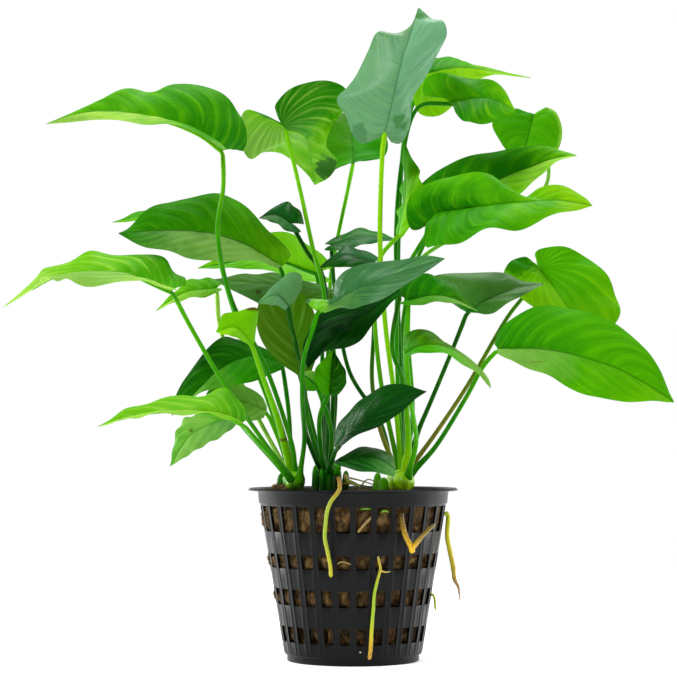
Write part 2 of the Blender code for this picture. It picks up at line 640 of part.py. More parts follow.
def tube(name, points, collection, sides=6):
    """A closed round tube through (place, radius) pairs, as a mesh."""
    curve = bpy.data.curves.new(name, "CURVE")
    curve.dimensions = "3D"
    curve.bevel_depth = MM
    curve.bevel_resolution = (sides - 4) // 2
    curve.use_fill_caps = True
    spline = curve.splines.new("POLY")
    spline.points.add(len(points) - 1)
    for knot, (place, radius) in zip(spline.points, points):
        knot.co = (*[float(v) * MM for v in place], 1.0)
        knot.radius = radius
    guide = new_object(name + "_guide", curve, collection)
    bpy.context.view_layer.update()
    solid = guide.evaluated_get(bpy.context.evaluated_depsgraph_get())
    mesh = bpy.data.meshes.new_from_object(solid)
    bpy.data.objects.remove(guide)
    shape = bmesh.new()
    shape.from_mesh(mesh)
    bmesh.ops.remove_doubles(shape, verts=shape.verts, dist=1e-6)
    bmesh.ops.recalc_face_normals(shape, faces=shape.faces)
    shape.to_mesh(mesh)
    shape.free()
    mesh.name = name
    return mesh


def make_leaf(name, leaf, parts, cutters):
    """A blade with its stalk and the thick part of its midrib, joined into one solid."""
    blade = new_object(name, blade_mesh(name, leaf), parts)
    shell = blade.modifiers.new("thickness", "SOLIDIFY")
    shell.thickness = BLADE_THICKNESS * MM
    shell.offset = 0.0
    stalk = new_object(name + "_stalk", tube(name + "_stalk", stalk_points(leaf), cutters), cutters)
    stalk.hide_render = True
    stalk.display_type = "WIRE"
    join = blade.modifiers.new("stalk", "BOOLEAN")
    join.operation = "UNION"
    join.object = stalk
    blade.data.shade_smooth()
    paint(blade, leaf["tone"])
    return blade


def body_radius(height):
    """The pot wall's outer radius at a height."""
    share = (height - FOOT_HEIGHT) / (POT_HEIGHT - FOOT_HEIGHT)
    return BODY_FOOT_RADIUS + (COLLAR_RADIUS - BODY_FOOT_RADIUS) * share


def ring(radius, height, share):
    """Two points a column round the pot, at the edges of that column's window."""
    pitch = 2 * math.pi / WINDOW_COLUMNS
    points = []
    for column in range(WINDOW_COLUMNS):
        middle = -math.pi / 2 + (column + 0.5) * pitch
        for side in (-0.5, 0.5):
            angle = middle + side * share * pitch
            points.append((radius * math.cos(angle), radius * math.sin(angle), height))
    return points


def make_pot(parts):
    """The net pot: one pierced sheet from floor to rim, thickened inward."""
    underside = POT_HEIGHT - WALL
    first_share = WINDOW_ROWS[0][2]
    last_share = WINDOW_ROWS[-1][2]
    rings = [
        (FLOOR_DISC_RADIUS, 0.0, first_share),
        (FOOT_RADIUS, 0.0, first_share),
        (FOOT_RADIUS + 0.1, FOOT_HEIGHT - 0.6, first_share),
        (body_radius(FOOT_HEIGHT), FOOT_HEIGHT, first_share),
    ]
    pierced = []
    for bottom, top, share in WINDOW_ROWS:
        pierced.append(len(rings))
        rings.append((body_radius(bottom), bottom, share))
        rings.append((body_radius(top), top, share))
    rings.append((body_radius(underside), underside, last_share))
    rings.append((RIM_RADIUS, underside, last_share))
    points = []
    for radius, height, share in rings:
        points += ring(radius, height, share)
    count = 2 * WINDOW_COLUMNS
    faces = [tuple(range(count))]
    for i in range(len(rings) - 1):
        for j in range(count):
            if i in pierced and j % 2 == 0:
                continue
            a, b = i * count + j, i * count + (j + 1) % count
            faces.append((a, b, b + count, a + count))
    mesh = bpy.data.meshes.new("net_pot")
    mesh.from_pydata([tuple(v * MM for v in p) for p in points], [], faces)
    shape = bmesh.new()
    shape.from_mesh(mesh)
    bmesh.ops.recalc_face_normals(shape, faces=shape.faces)
    shape.faces.ensure_lookup_table()
    if shape.faces[0].normal.z > 0:
        bmesh.ops.reverse_faces(shape, faces=shape.faces)
    shape.to_mesh(mesh)
    shape.free()
    pot = new_object("net_pot", mesh, parts)
    wall = pot.modifiers.new("wall", "SOLIDIFY")
    wall.thickness = WALL * MM
    wall.offset = -1.0
    wall.use_even_offset = True
    pot.data.set_sharp_from_angle(angle=math.radians(30))
    paint(pot, "pot")


def make_wool(parts):
    """The rock wool: a turned plug that follows the wall, a little crowned on top."""
    inner = [(body_radius(z) - WOOL_GAP, z) for z in (WOOL_EDGE_TOP, 42.0, 5.6)]
    foot = [(FOOT_RADIUS - WOOL_GAP - 0.1, 5.0), (FOOT_RADIUS - WOOL_GAP - 0.1, WALL + CLEARANCE)]
    crown = [(0.0, WOOL_CENTRE_TOP), (26.0, WOOL_CENTRE_TOP - 0.2)]
    outline = crown + inner + foot + [(0.0, WALL + CLEARANCE)]
    mesh = bpy.data.meshes.new("rock_wool")
    edges = [(i, i + 1) for i in range(len(outline) - 1)]
    mesh.from_pydata([(r * MM, 0.0, z * MM) for r, z in outline], edges, [])
    wool = new_object("rock_wool", mesh, parts)
    turn = wool.modifiers.new("turn", "SCREW")
    turn.steps = 28
    turn.render_steps = 28
    turn.use_merge_vertices = True
    turn.merge_threshold = 0.00001
    paint(wool, "wool")


def make_creeping_stem(name, stem, parts, cutters):
    """One creeping stem, swollen at its leaf joints."""
    points = []
    steps = 8
    for i in range(steps + 1):
        share = i / steps
        swell = 0.94 if i % 2 else 1.0
        if i in (0, steps):
            swell = 0.6
        points.append((smooth(stem["path"], share), stem["radius"] * swell))
    obj = new_object(name, tube(name, points, cutters, sides=8), parts)
    obj.data.shade_smooth()
    paint(obj, "creeping_stem")


def make_root(name, root, parts, cutters):
    """One root outside the wool, as a tube that thins along its route."""
    steps = max(3, len(root["route"]) - 1)
    points = []
    for i in range(steps + 1):
        share = i / steps
        points.append((smooth(root["route"], share), root["start"] + (root["end"] - root["start"]) * share))
    obj = new_object(name, tube(name, points, cutters), parts)
    obj.data.shade_smooth()
    paint(obj, root["tone"])


def build():
    """Clears the scene and makes the whole plant in its pot."""
    for obj in list(bpy.data.objects):
        bpy.data.objects.remove(obj)
    parts = bpy.data.collections.new(OBJECT_NAME)
    cutters = bpy.data.collections.new(OBJECT_NAME + "_cutters")
    for collection in (parts, cutters):
        bpy.context.scene.collection.children.link(collection)
    make_pot(parts)
    make_wool(parts)
    for name, stem in CREEPING_STEMS.items():
        make_creeping_stem("creeping_stem_" + name, stem, parts, cutters)
    for name, root in ROOTS.items():
        make_root(name, root, parts, cutters)
    for name, leaf in LEAVES.items():
        make_leaf(name, leaf, parts, cutters)
    bpy.context.view_layer.update()


build()
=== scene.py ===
"""The looks of a potted anubias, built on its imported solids.

Each leaf, creeping stem and root, the net pot and the rock wool is made again in fine detail, in
the place of its solid. Lengths in the tables are in millimetres and become metres in a mesh. The
pot stands on the floor with its axis on the origin, and the side that is looked at faces -Y.
"""
import math

import bmesh
import bpy
import numpy as np
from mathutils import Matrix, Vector, noise


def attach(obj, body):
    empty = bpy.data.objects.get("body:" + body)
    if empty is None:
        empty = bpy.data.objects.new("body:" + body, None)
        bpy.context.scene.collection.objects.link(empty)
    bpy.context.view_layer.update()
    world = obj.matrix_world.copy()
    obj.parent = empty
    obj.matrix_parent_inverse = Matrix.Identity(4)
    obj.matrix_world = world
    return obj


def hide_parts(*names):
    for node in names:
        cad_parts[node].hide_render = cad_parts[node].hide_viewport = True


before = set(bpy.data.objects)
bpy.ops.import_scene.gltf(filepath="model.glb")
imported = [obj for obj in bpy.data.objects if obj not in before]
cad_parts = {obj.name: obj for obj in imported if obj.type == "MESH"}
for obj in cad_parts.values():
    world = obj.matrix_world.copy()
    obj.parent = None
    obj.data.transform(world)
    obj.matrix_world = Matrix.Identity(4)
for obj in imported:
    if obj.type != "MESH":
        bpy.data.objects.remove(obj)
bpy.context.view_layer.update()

# A millimetre in metres. A pattern's scale of 0.2 / MM gives it a lump every 5 mm
MM = 0.001
# Edges that turn by more degrees than this stay sharp
SHARP_TURN = 60.0

# The net pot, in millimetres
POT_HEIGHT = 77.4
RIM_RADIUS = 47.5
COLLAR_RADIUS = 43.0
FOOT_RADIUS = 29.7
BODY_FOOT_RADIUS = 31.0
FOOT_HEIGHT = 3.6
WALL = 1.2
WINDOW_COLUMNS = 28
# Each row of windows: bottom edge, top edge, and the window's share of one column's width
WINDOW_ROWS = (
    (9.3, 16.4, 0.57),
    (25.9, 33.2, 0.61),
    (42.3, 48.6, 0.67),
    (58.4, 69.7, 0.71),
)
# The low ridge beside each window, with its slope and flat top as shares of a column's width
RIB_PROUD = 0.1
RIB_SLOPE = 0.03
RIB_WIDTH = 0.025
COLLAR_FOOT = 70.7
COLLAR_STEP = 0.55
SOFT_EDGE = 0.14
SOFT_EDGE_TURN = 50.0
# The grain of grit on the front: its place across, its height and its radius
GRIT = (3.1, 6.4, 0.33)
GRIT_RINGS = 6
GRIT_SIDES = 8

# The rock wool plug
WOOL_GAP = 1.75
WOOL_EDGE_TOP = 73.6
WOOL_CENTRE_TOP = 75.1
WOOL_FLOOR = 1.6
WOOL_TOP_RADIUS = 40.0
WOOL_LOWEST_SIDE = 5.4
WOOL_SIDES = 252
WOOL_TOP_RINGS = 26
WOOL_SIDE_RINGS = 104
# Lumps on it, each with its size across and its height
WOOL_TOP_LUMPS = ((9.0, 1.6), (3.0, 0.8), (1.1, 0.4))
WOOL_SIDE_LUMPS = ((5.0, 1.0), (1.8, 0.55), (0.8, 0.3))
# The loose clump beside the left creeping stem: its place, its reach both ways and its height
CLUMP = (-34.0, -14.0, 7.0, 12.0, 3.6)
CLUMP_LUMPS = ((2.2, 0.6),)
# The outer part of the top falls away over this width
WOOL_EDGE_WIDTH = 10.0
# Below this height the wool is less full, and its cracks are deeper by up to LOW_CRACK_DEPTH
WOOL_FULL_HEIGHT = 45.0
CRACK_DEPTH = 6.0
LOW_CRACK_DEPTH = 5.0
# How far it swells in the middle of a window, and how far beyond its own radius at most
WINDOW_SWELL = 1.6
MOST_SWELL = 0.9
FIBRES_PER_SQUARE_METRE = 1000000.0
FIBRE_SEED = 5
FIBRE_SIDES = 3
# One loose bent fibre: each place along it with its radius and its share of the length
FIBRE = (((-1.9, 0, -0.1), 0.06, 0), ((-0.9, 0.3, 0.1), 0.1, 0.3), ((0, 0.25, 0.16), 0.1, 0.5),
    ((1.0, -0.2, 0.1), 0.1, 0.7), ((2.0, -0.45, -0.1), 0.05, 1))

# The creeping stems lie on the wool and run from front to back. A stump of an old leaf sheath is
# its place across and in depth, the height of its top and its radius
CREEPING_STEMS = {
    "left": dict(path=((-25.5, -26, 80.5), (-27, 0, 81), (-28, 26, 80.5)), radius=4.6,
        greens=("grass", "lime", "bright_lime"), stump_greens=("forest", "leaf"),
        stumps=((-32.5, 4, 84, 2.2),)),
    # The centre stem's near-black greens are partly painted shade deep in the crown, and its stumps
    # run from near black at the foot to leaf green at the top: painted shade below, lit tops above.
    "centre": dict(path=((-13, -28, 80.5), (-11, 0, 81), (-12, 28, 80.5)), radius=5.0,
        greens=("night", "forest", "leaf"), stump_greens=("night", "deep", "leaf"),
        stumps=((-16.4, -29, 88.0, 1.6), (-13.4, -32, 86.5, 1.3), (-10.2, -31, 89.5, 2.3),
            (-6.6, -28, 87.5, 1.7), (-14.8, -24, 91.0, 1.5), (-3.6, -20, 85.5, 1.6),
            (-8.6, -24, 92.5, 1.3))),
    "right": dict(path=((22, -27, 80.5), (22, 0, 81), (20, 27, 80.5)), radius=5.2,
        greens=("bright_lime", "sap", "sap"), stump_greens=("olive", "fresh"),
        stumps=((13.4, -23, 82.5, 2.1), (10.5, -8, 84.5, 1.8))),
}
STEM_JOINTS = 9
STEM_LUMPS = ((4.0, 0.16), (1.4, 0.06))
STEM_RINGS = 90
STEM_SIDES = 28
# A torn leaf sheath: at each share of its height, its thickness as a share of its radius
STUMP_SHAPE = ((0.0, 1.2), (0.25, 1.1), (0.55, 0.98), (0.75, 0.9), (0.88, 0.68), (0.96, 0.4),
    (1.0, 0.12))
STUMP_LEAN = 2.5
STUMP_SIDES = 14

# Leaf blades. One longer than LARGE_BLADE has more rows, and more places in half a row
BLADE_MIDDLE = 0.62
BLADE_MARGIN = 0.12
LARGE_BLADE = 55.0
LARGE_GRID = (72, 18)
SMALL_GRID = (44, 11)
MARK_GRID = (40, 12)
# Folds and ripples die away where a half is narrower than this
NARROW_BLADE = 9.0
# The midrib is run a little more slowly than the outer edges
SPINE_PACE = 1.15
BLADE_CROWN = 0.06
VEIN_SPACING = 8.5
FEWEST_VEINS = 5.0
VEIN_SWEEP = 0.16
VEIN_WANDER = 0.16
FOLD_HEIGHT = 0.03
GROOVE_DEPTH = 0.4
GROOVE_WIDTH = 0.9
DENTS = 0.35
# How far apart a blade's irregularities lie, with the seed that places them
VEIN_NOISE = (14.0, 5.7)
FOLD_NOISE = (20.0, 9.2)
DENT_NOISE = (9.0, 3.1)
RIPPLE_NOISE = 30.0

# Stalks
STALK_FOOT_RADIUS = 1.1
STALK_TOP_RADIUS = 0.92
FOOT_GAP = 0.4
FOOT_DEPTH = 2.4
STALK_SET_OFF = 6.0
STALK_STEP = 2.5
FEWEST_STALK_STEPS = 12
STALK_SIDES = 12
# How thick the sheathing foot of a stalk is on each creeping stem, and how far up it tapers
SHEATHS = {"left": (2.0, 12.0), "centre": (1.6, 11.0), "right": (2.2, 16.0)}
# The knee below a blade: how much thicker it is, how far from the blade and how long
KNEE = (0.12, 9.0, 7.0)
# The raised midrib under a blade: the share of it that it runs along, and how low it hangs
RIB_LENGTH = 0.92
RIB_TIP_RADIUS = 0.16
RIB_DROP = 0.1

ROOT_STEP = 0.8
FEWEST_ROOT_STEPS = 10
ROOT_SIDES = 14
ROOTLET_SIDES = 10
# The length over which a root's free end is rounded off
ROOT_END = 1.2

# The eye that the plant was measured from, one metre in front of the pot's axis
EYE_DISTANCE = 1000.0
EYE_HEIGHT = 98.0

# The studio. The camera's aim and the softboxes are in metres
FLOOR_RADIUS = 700.0
FLOOR_SIDES = 96
SENSOR_WIDTH = 36.0
LENS = 117.3
CAMERA_AIM = (-0.0066, 0.0, 0.1460)
SURROUND_LIGHT = 1.0
OVERHEAD_LIGHT = 0.25
FRONT_LIGHT = 0.3
TABLE_LIGHT = 0.35
# Each softbox: its name, its place, what it is turned to, its two sides and its power in watts
SOFTBOXES = (
    ("key_softbox", (-0.6, -1.0, 1.2), (0, 0, 0.16), (0.8, 0.8), 20.0),
    ("top_softbox", (0.2, 0.35, 1.3), (0, 0, 0.18), (0.9, 0.7), 12.0),
    ("side_strip", (0.9, 0.35, 0.3), (0, 0, 0.1), (0.2, 0.9), 8.0),
    ("far_strip", (-0.9, 0.45, 0.3), (0, 0, 0.1), (0.2, 0.9), 11.0),
)

# The record's material slot for each leaf's tone, and for the roots that aren't green
LEAF_SLOTS = {
    "fresh": "leaf_fresh_green", "mid": "leaf_mid_green", "lime": "leaf_lime",
    "pale": "leaf_pale_green", "olive": "leaf_olive", "glaucous": "leaf_glaucous",
    "dark": "leaf_dark_green",
}
ROOT_SLOTS = {"root_over_rim": "root_brown", "root_arching": "root_brown",
    "root_orange_fork": "root_orange"}

# Leaf shapes. A place is (x, y, z) with y the depth, and x and z are read where the eye's line
# to it crosses the plane of the pot's axis. crown is the creeping stem that the leaf grows from,
# foot is the place along it with the lean from upright in degrees, and tone is the leaf's colour
# in the record. stalk runs from there to the blade, and stem is its radius at the top where that
# isn't the usual one. spine is the midrib from base to tip. An outer edge is either drawn, as
# (x, z) points from the base to the tip with its own depth from the midrib, or plain, as a reach
# from the midrib to the widest place. A plain blade's lobe is how far its base goes back beyond
# the midrib, and widest where its widest place is, both as shares of the length.
LEAVES = {
    "leaf_top_left": dict(
        crown="left", foot=(-14, 34), tone="fresh",
        stalk=((-28.5, -20, 100), (-40, -38, 133), (-55, -54, 162), (-61.5, -64, 192),
            (-59, -66, 214)),
        spine=((-59, -60, 231), (-69.5, -61, 238.5), (-85.5, -64, 244.5), (-106, -65, 248.5),
            (-124, -65, 248), (-140.5, -62, 243)),
        left_depth=-16,
        left=((-57.5, 231), (-63, 235.5), (-74, 240), (-86, 243), (-100.5, 243.5), (-115, 245)),
        right_depth=16,
        right=((-50, 230.5), (-48.5, 236), (-51.5, 247.5), (-59.5, 257), (-80.5, 261.5),
            (-92, 258.5), (-104.5, 258.5), (-120.5, 251.5)),
    ),
    "leaf_left_big": dict(
        crown="centre", foot=(4, -48), tone="mid",
        stalk=((-22, 0, 120), (-29, -10, 149)),
        spine=((-32, -10, 178), (-51.5, -20, 189), (-72, -26, 194), (-92, -30, 194),
            (-107, -31, 193)),
        left_depth=-14,
        left=((-34, 177), (-47, 180.5), (-69.5, 180.5), (-82, 184.5), (-94.5, 186.5)),
        right_depth=12,
        right=((-28, 183), (-31, 187), (-38, 194), (-47, 204.5), (-58, 210), (-66.5, 211),
            (-81, 208), (-92, 204.5), (-101.5, 196)),
    ),
    "leaf_left_behind": dict(
        crown="left", foot=(16, -34), tone="fresh",
        stalk=((-38, 26, 115), (-55, 36, 160)),
        spine=((-63, 34, 192), (-88, 31, 201), (-110, 23, 198)),
        left_reach=(0, -10, -5),
        right_reach=(0, 12, 6),
        lobe=0.1, widest=0.36,
    ),
    "leaf_left_lime_behind": dict(
        crown="centre", foot=(18, -20), tone="lime",
        stalk=((-14, 29, 120), (-14, 39, 150)),
        spine=((-16, 44, 175), (-41, 55, 182), (-71, 57, 177)),
        left_reach=(2, -13, 12),
        right_reach=(0, 13, -6),
        lobe=0.12, widest=0.36,
    ),
    "leaf_far_left": dict(
        crown="left", foot=(-22, -44), tone="lime",
        stalk=((-41, -28, 99), (-60, -47, 127), (-74, -49, 151)),
        spine=((-82, -44, 167), (-90, -44, 170), (-103.5, -47, 175), (-117, -48, 175.5),
            (-135.5, -49, 173), (-159.5, -52, 159)),
        left_depth=-13,
        left=((-79.5, 166.5), (-88, 169.5), (-97, 171.5), (-112, 170), (-126, 170), (-133, 172.5),
            (-140, 171.5), (-149, 167)),
        right_depth=13,
        right=((-76, 169), (-77, 173), (-82, 177), (-88, 181.5), (-98, 184.5), (-113, 184),
            (-126.5, 182.5), (-138, 176.5), (-145.5, 172)),
    ),
    "leaf_small_lime": dict(
        crown="left", foot=(6, -48), tone="lime",
        stalk=((-47, 8, 117), (-59.5, 13, 147)),
        spine=((-62, 10, 168), (-76, 8, 166), (-90, 5, 157.5)),
        left_reach=(0, -6, -4),
        right_reach=(0, 6, 6),
        lobe=0.1, widest=0.36,
    ),
    "leaf_lime_brown_edge": dict(
        crown="left", foot=(-6, -10), tone="lime",
        stalk=((-34, -26, 108), (-41, -46, 128)),
        spine=((-45.5, -58, 142), (-53, -66, 150), (-62.3, -69, 148)),
        left_depth=-5,
        left=((-49, 143.5), (-53, 145.5), (-57.5, 146.5)),
        right_depth=2,
        right=((-44.7, 145.5), (-44, 152.5), (-43.5, 158.5), (-46.8, 159.3), (-53.2, 157.3),
            (-59, 156), (-60.7, 152)),
    ),
    "leaf_grey_folded": dict(
        crown="centre", foot=(-19, -34), tone="glaucous",
        stalk=((-22, -39, 105), (-23, -55, 128), (-28, -65, 151)),
        spine=((-29, -68, 160), (-35, -75, 165), (-43.5, -81, 161)),
        left_depth=-4,
        left=((-31, 158), (-34, 160), (-38, 160.3)),
        right_depth=5,
        right=((-26, 162.5), (-23.6, 168), (-23, 173.5), (-29, 175), (-33.5, 171.5), (-39, 166)),
    ),
    "leaf_olive_behind": dict(
        crown="centre", foot=(-4, -46), tone="olive",
        stalk=((-20.5, -10, 108),),
        spine=((-22, -16, 126), (-28, -18, 146), (-33, -18, 169)),
        left_depth=-4,
        left=((-26, 129), (-33, 134), (-40, 141.5), (-43.5, 150), (-43.5, 159), (-39.5, 166)),
        right_depth=2,
        right=((-19, 129), (-17, 137), (-16, 147), (-17.5, 157), (-23, 165.5)),
    ),
    "leaf_grey_green_under": dict(
        crown="centre", foot=(10, -10), tone="pale",
        stalk=((-12.5, 16, 117), (-10.5, 16, 144)),
        spine=((-9.5, 13, 166), (-37, 16, 169.5), (-64, 18, 172)),
        left_reach=(2, -9, -11),
        right_reach=(0, 9, 6),
        lobe=0.06, widest=0.48,
    ),
    "leaf_dark_mid_left": dict(
        crown="left", foot=(0, -24), tone="mid",
        stalk=((-29, 3, 110),),
        spine=((-32, 4, 134.5), (-47, -1, 137), (-60.5, -6, 131), (-69.5, -9, 122),
            (-82, -10, 110)),
        left_depth=-9,
        left=((-31, 131.5), (-41.5, 127), (-51.5, 124), (-63.5, 122.5), (-73, 117)),
        right_depth=8,
        right=((-32, 137.5), (-41.5, 141), (-51.5, 145), (-58, 146), (-64, 142), (-71, 135),
            (-77, 125), (-81.5, 117)),
    ),
    "leaf_lower_left_lime": dict(
        crown="left", foot=(-25, -58), tone="lime",
        stalk=((-38, -38, 93), (-44.5, -46, 100)),
        spine=((-50, -65, 107), (-58, -68, 110), (-69.5, -72, 112), (-87.5, -75, 112),
            (-103.5, -78, 109), (-116, -81, 105)),
        left_depth=-12,
        left=((-51.5, 106.5), (-56, 108.5), (-67, 110.5), (-81, 111), (-94.5, 110), (-106, 107.5)),
        right_depth=14,
        right=((-47.5, 107.5), (-48.5, 112.5), (-53, 119), (-60, 122), (-72, 119), (-87.5, 117.5),
            (-99, 114.5), (-107.5, 110)),
    ),
    "leaf_hanging_grey": dict(
        crown="left", foot=(-10, -62), tone="pale",
        stalk=((-44.5, -16, 99),),
        spine=((-54, -26, 110), (-72, -31, 102.5), (-83, -34, 87)),
        left_reach=(5, -6, -6),
        right_reach=(-6, 6, 5),
        lobe=0.08, widest=0.42,
    ),
    "leaf_pale_lower_left": dict(
        crown="left", foot=(12, -30), tone="pale",
        stalk=((-33, 6, 98),),
        spine=((-39, 3, 112.5), (-52, -2, 117), (-67, -5, 118.5)),
        left_depth=-5,
        left=((-40.5, 109), (-46, 107.8), (-52, 109), (-60, 113)),
        right_depth=4,
        right=((-39.3, 115.5), (-41.1, 118.2), (-46.8, 123), (-54.8, 124.3), (-60.4, 123.7),
            (-65.6, 121.4)),
    ),
    "leaf_top_heart": dict(
        crown="centre", foot=(-8, 4), tone="lime",
        stalk=((-11.4, -10, 117), (-11.4, -13, 144), (-13.6, -13, 168), (-18, -8, 185),
            (-23, 0, 208), (-27.7, 8, 228)),
        spine=((-31, 13, 241), (-24, 26, 238.5), (-20, 47, 231), (-17.3, 75, 215)),
        left_depth=-8,
        left=((-40, 245.5), (-48, 249.5), (-51.5, 245), (-51, 235), (-47, 227), (-41.5, 230.5),
            (-33, 229.5), (-26, 225), (-20.5, 219)),
        right_depth=-8,
        right=((-34, 248), (-35, 252), (-29.5, 259), (-20.5, 262.5), (-11.5, 263), (-3.5, 259),
            (-3, 251.5), (-9.5, 242), (-12, 232.5), (-7.5, 225.5), (-10, 219.5)),
    ),
    "leaf_behind_top": dict(
        crown="centre", foot=(22, 18), tone="olive",
        stalk=((-8, 44, 117), (-9, 60, 144), (-10.5, 70, 167), (-8.6, 74, 183), (-3, 79, 210)),
        spine=((0, 83, 225), (-0.5, 96, 237.5), (-1.5, 109, 250)),
        left_depth=-4,
        left=((-7, 223), (-12.5, 219), (-16.5, 221.5), (-16, 231), (-12.5, 240), (-7, 246.5)),
        right_depth=4,
        right=((5.5, 226), (12.5, 227), (15.5, 230.5), (14.5, 240), (8, 246.5)),
    ),
    "leaf_top_glaucous": dict(
        crown="right", foot=(-10, -8), tone="glaucous", stem=1.1,
        stalk=((19, -23, 117), (14.5, -26, 153), (12.3, -29, 190), (13.2, -29, 226)),
        spine=((14.5, -26, 238.5), (17.5, -29, 251), (20.5, -29, 265), (23.5, -26, 276),
            (26.5, -21, 285), (30, -13, 296.5)),
        left_depth=6,
        left=((11, 236.5), (4, 234.5), (-0.5, 239), (-3.5, 246.5), (-7, 253.5), (-3.5, 259),
            (1.5, 267), (7, 277.5), (11.5, 284.5), (19, 285), (26.5, 288)),
        right_depth=8,
        right=((17.5, 234.5), (21.5, 234.5), (25, 240), (27, 246.5), (27.5, 254.5), (30.5, 261.5),
            (36.5, 270.5), (40.5, 277.5), (42.5, 284), (41, 290.5), (35.5, 292.5)),
    ),
    "leaf_thin_top_right": dict(
        crown="right", foot=(20, 0), tone="lime",
        stalk=((21, 34, 117), (20.5, 36, 171), (21.4, 34, 208), (24, 31, 240)),
        spine=((32.5, 34, 266), (48.5, 47, 269), (64.5, 60, 267), (81.5, 68, 264)),
        left_depth=10,
        left=((32.5, 270), (37.5, 273.5), (43, 273.5), (51, 271), (64.5, 267.5)),
        right_depth=-10,
        right=((28, 260), (27.5, 253), (31, 247.5), (38, 246.5), (45, 251), (54, 261),
            (63, 265), (71.5, 265)),
    ),
    "leaf_right_top": dict(
        crown="right", foot=(8, 6), tone="fresh",
        stalk=((22, 16, 112), (21, 18, 144), (19.5, 16, 190), (22.3, 13, 226), (29, 10, 250)),
        spine=((44, 5, 253), (57, 1, 255), (67, -3, 253.5), (74.5, -8, 248)),
        left_depth=12,
        left=((39.5, 255.5), (32.5, 257), (32.5, 263.5), (39.5, 266), (49.5, 264.5), (61, 263.5),
            (69, 259)),
        right_depth=-10,
        right=((45.5, 251.5), (47.5, 247), (51.5, 244), (57.5, 243), (67, 244.5)),
    ),
    "leaf_right_upper_lime": dict(
        crown="right", foot=(24, 26), tone="lime",
        stalk=((24, 44, 112), (24, 55, 150), (28, 65, 178), (55, 75, 196), (84, 73, 210),
            (89, 65, 226)),
        spine=((82.5, 60, 247.5), (80.5, 56, 240), (78, 51, 230.5), (76, 44, 221.5)),
        left_depth=3,
        left=((85.5, 249), (89, 250.5), (92.5, 248), (95.5, 239), (93, 230.5), (85, 224)),
        right_depth=3,
        right=((79.5, 248), (73.5, 250), (67, 247.5), (63.5, 242.5), (67, 235), (71.5, 228.5)),
    ),
    "leaf_right_mid_upper": dict(
        crown="right", foot=(14, 22), tone="fresh",
        stalk=((23, 26, 112), (22, 31, 144), (26, 34, 172), (33, 34, 190)),
        spine=((39.5, 34, 206), (57.5, 30, 213.5), (76, 26, 221.5), (92, 21, 227),
            (102, 18, 228.5)),
        left_depth=10,
        left=((36, 206.5), (29.5, 210), (30.5, 215), (38.5, 221.5), (53, 228), (69, 231.5),
            (85, 232.5), (96.5, 230.5)),
        right_depth=-11,
        right=((42, 201), (53, 202.5), (67, 205.5), (77.5, 211.5), (85, 219.5), (94, 226)),
    ),
    "leaf_right_big": dict(
        crown="right", foot=(-4, 8), tone="fresh",
        stalk=((20.5, -5, 117), (20, -10, 162), (25, -18, 178), (33, -23, 192)),
        spine=((38, -26, 202.5), (55.5, -34, 205), (73.5, -39, 207), (92, -44, 208),
            (109, -47, 205.5)),
        left_depth=11,
        left=((35, 201.5), (31, 195.5), (26.5, 194.5), (24.3, 201), (26.5, 209.5), (36, 216.5),
            (46.5, 220), (57, 220.5), (67, 216), (76, 210), (85, 213.5), (96.5, 214),
            (104.5, 210.5)),
        right_depth=-13,
        right=((36, 200), (33, 195), (32.5, 188), (37, 186.5), (46.5, 188.5), (61, 194.5),
            (74.5, 194), (87.5, 200.5), (98.5, 202.5)),
    ),
    "leaf_right_heart": dict(
        crown="right", foot=(12, 52), tone="fresh",
        stalk=((38, 16, 103), (52, 29, 124), (69, 36, 153), (78, 39, 165)),
        spine=((85, 34, 176), (90.5, 29, 169.5), (96.5, 22, 160.5), (107.5, 16, 146.5)),
        left_depth=4,
        left=((83.5, 180), (83.5, 184.5), (88.5, 187), (97.5, 186), (107.5, 181.5), (115.5, 173),
            (119.5, 165), (121, 157), (118, 151)),
        right_depth=-4,
        right=((81.5, 179.5), (77.5, 182), (72, 180.5), (68.5, 174.5), (72.5, 167), (80.5, 160.5),
            (89.5, 153.5)),
    ),
    "leaf_right_glaucous": dict(
        crown="right", foot=(-2, 34), tone="glaucous",
        stalk=((29.5, -2, 103), (35, -5, 116), (43, -8, 135), (48.6, -10, 149)),
        spine=((51.4, -13, 157), (60, -14, 162.5), (73.5, -13, 167.5), (87, -10, 170)),
        left_depth=9,
        left=((47, 160), (39.5, 165), (35.5, 170.5), (38, 173.5), (51, 175.5), (67, 175),
            (76, 171.5)),
        right_depth=-6,
        right=((55, 157), (61, 156), (67, 158.5), (73.5, 163), (81.5, 167)),
    ),
    "leaf_right_lower_big": dict(
        crown="right", foot=(-12, 56), tone="fresh",
        stalk=((38, -18, 97), (51, -31, 118), (58.6, -34, 132)),
        spine=((65.5, -36, 140.5), (80.5, -42, 140.5), (96.5, -46, 138.5), (117, -49, 132.5),
            (132.5, -51, 124.5), (145.5, -52, 116)),
        left_depth=10,
        left=((64, 142.5), (67, 149), (73.5, 155.5), (85, 159.5), (96.5, 159.5), (110, 155.5),
            (122.5, 150), (132.5, 140), (140.5, 127)),
        right_depth=-9,
        right=((66, 138), (72.5, 134.5), (87.5, 128.5), (97.5, 123), (109, 118.5), (123.5, 116.5),
            (136, 116.5)),
    ),
    "leaf_centre_front": dict(
        crown="left", foot=(-24, 60), tone="glaucous",
        stalk=((-22, -38, 100), (-23, -62, 117), (-22.5, -70, 135), (-18.5, -73, 149)),
        spine=((-16.5, -75, 157.5), (-8, -78, 162), (5.5, -83, 169.5), (23.5, -87, 176),
            (42, -91, 181.5)),
        left_depth=8,
        left=((-19.5, 159.8), (-21.3, 162.4), (-16, 163), (-9.8, 163.6), (-7.8, 170.5),
            (-1.5, 177), (7.5, 180), (21.5, 180.5), (32.5, 183)),
        right_depth=-8,
        right=((-13, 156.8), (-6, 158.8), (1, 159), (10, 161.5), (19, 166.5), (30.5, 173.5)),
    ),
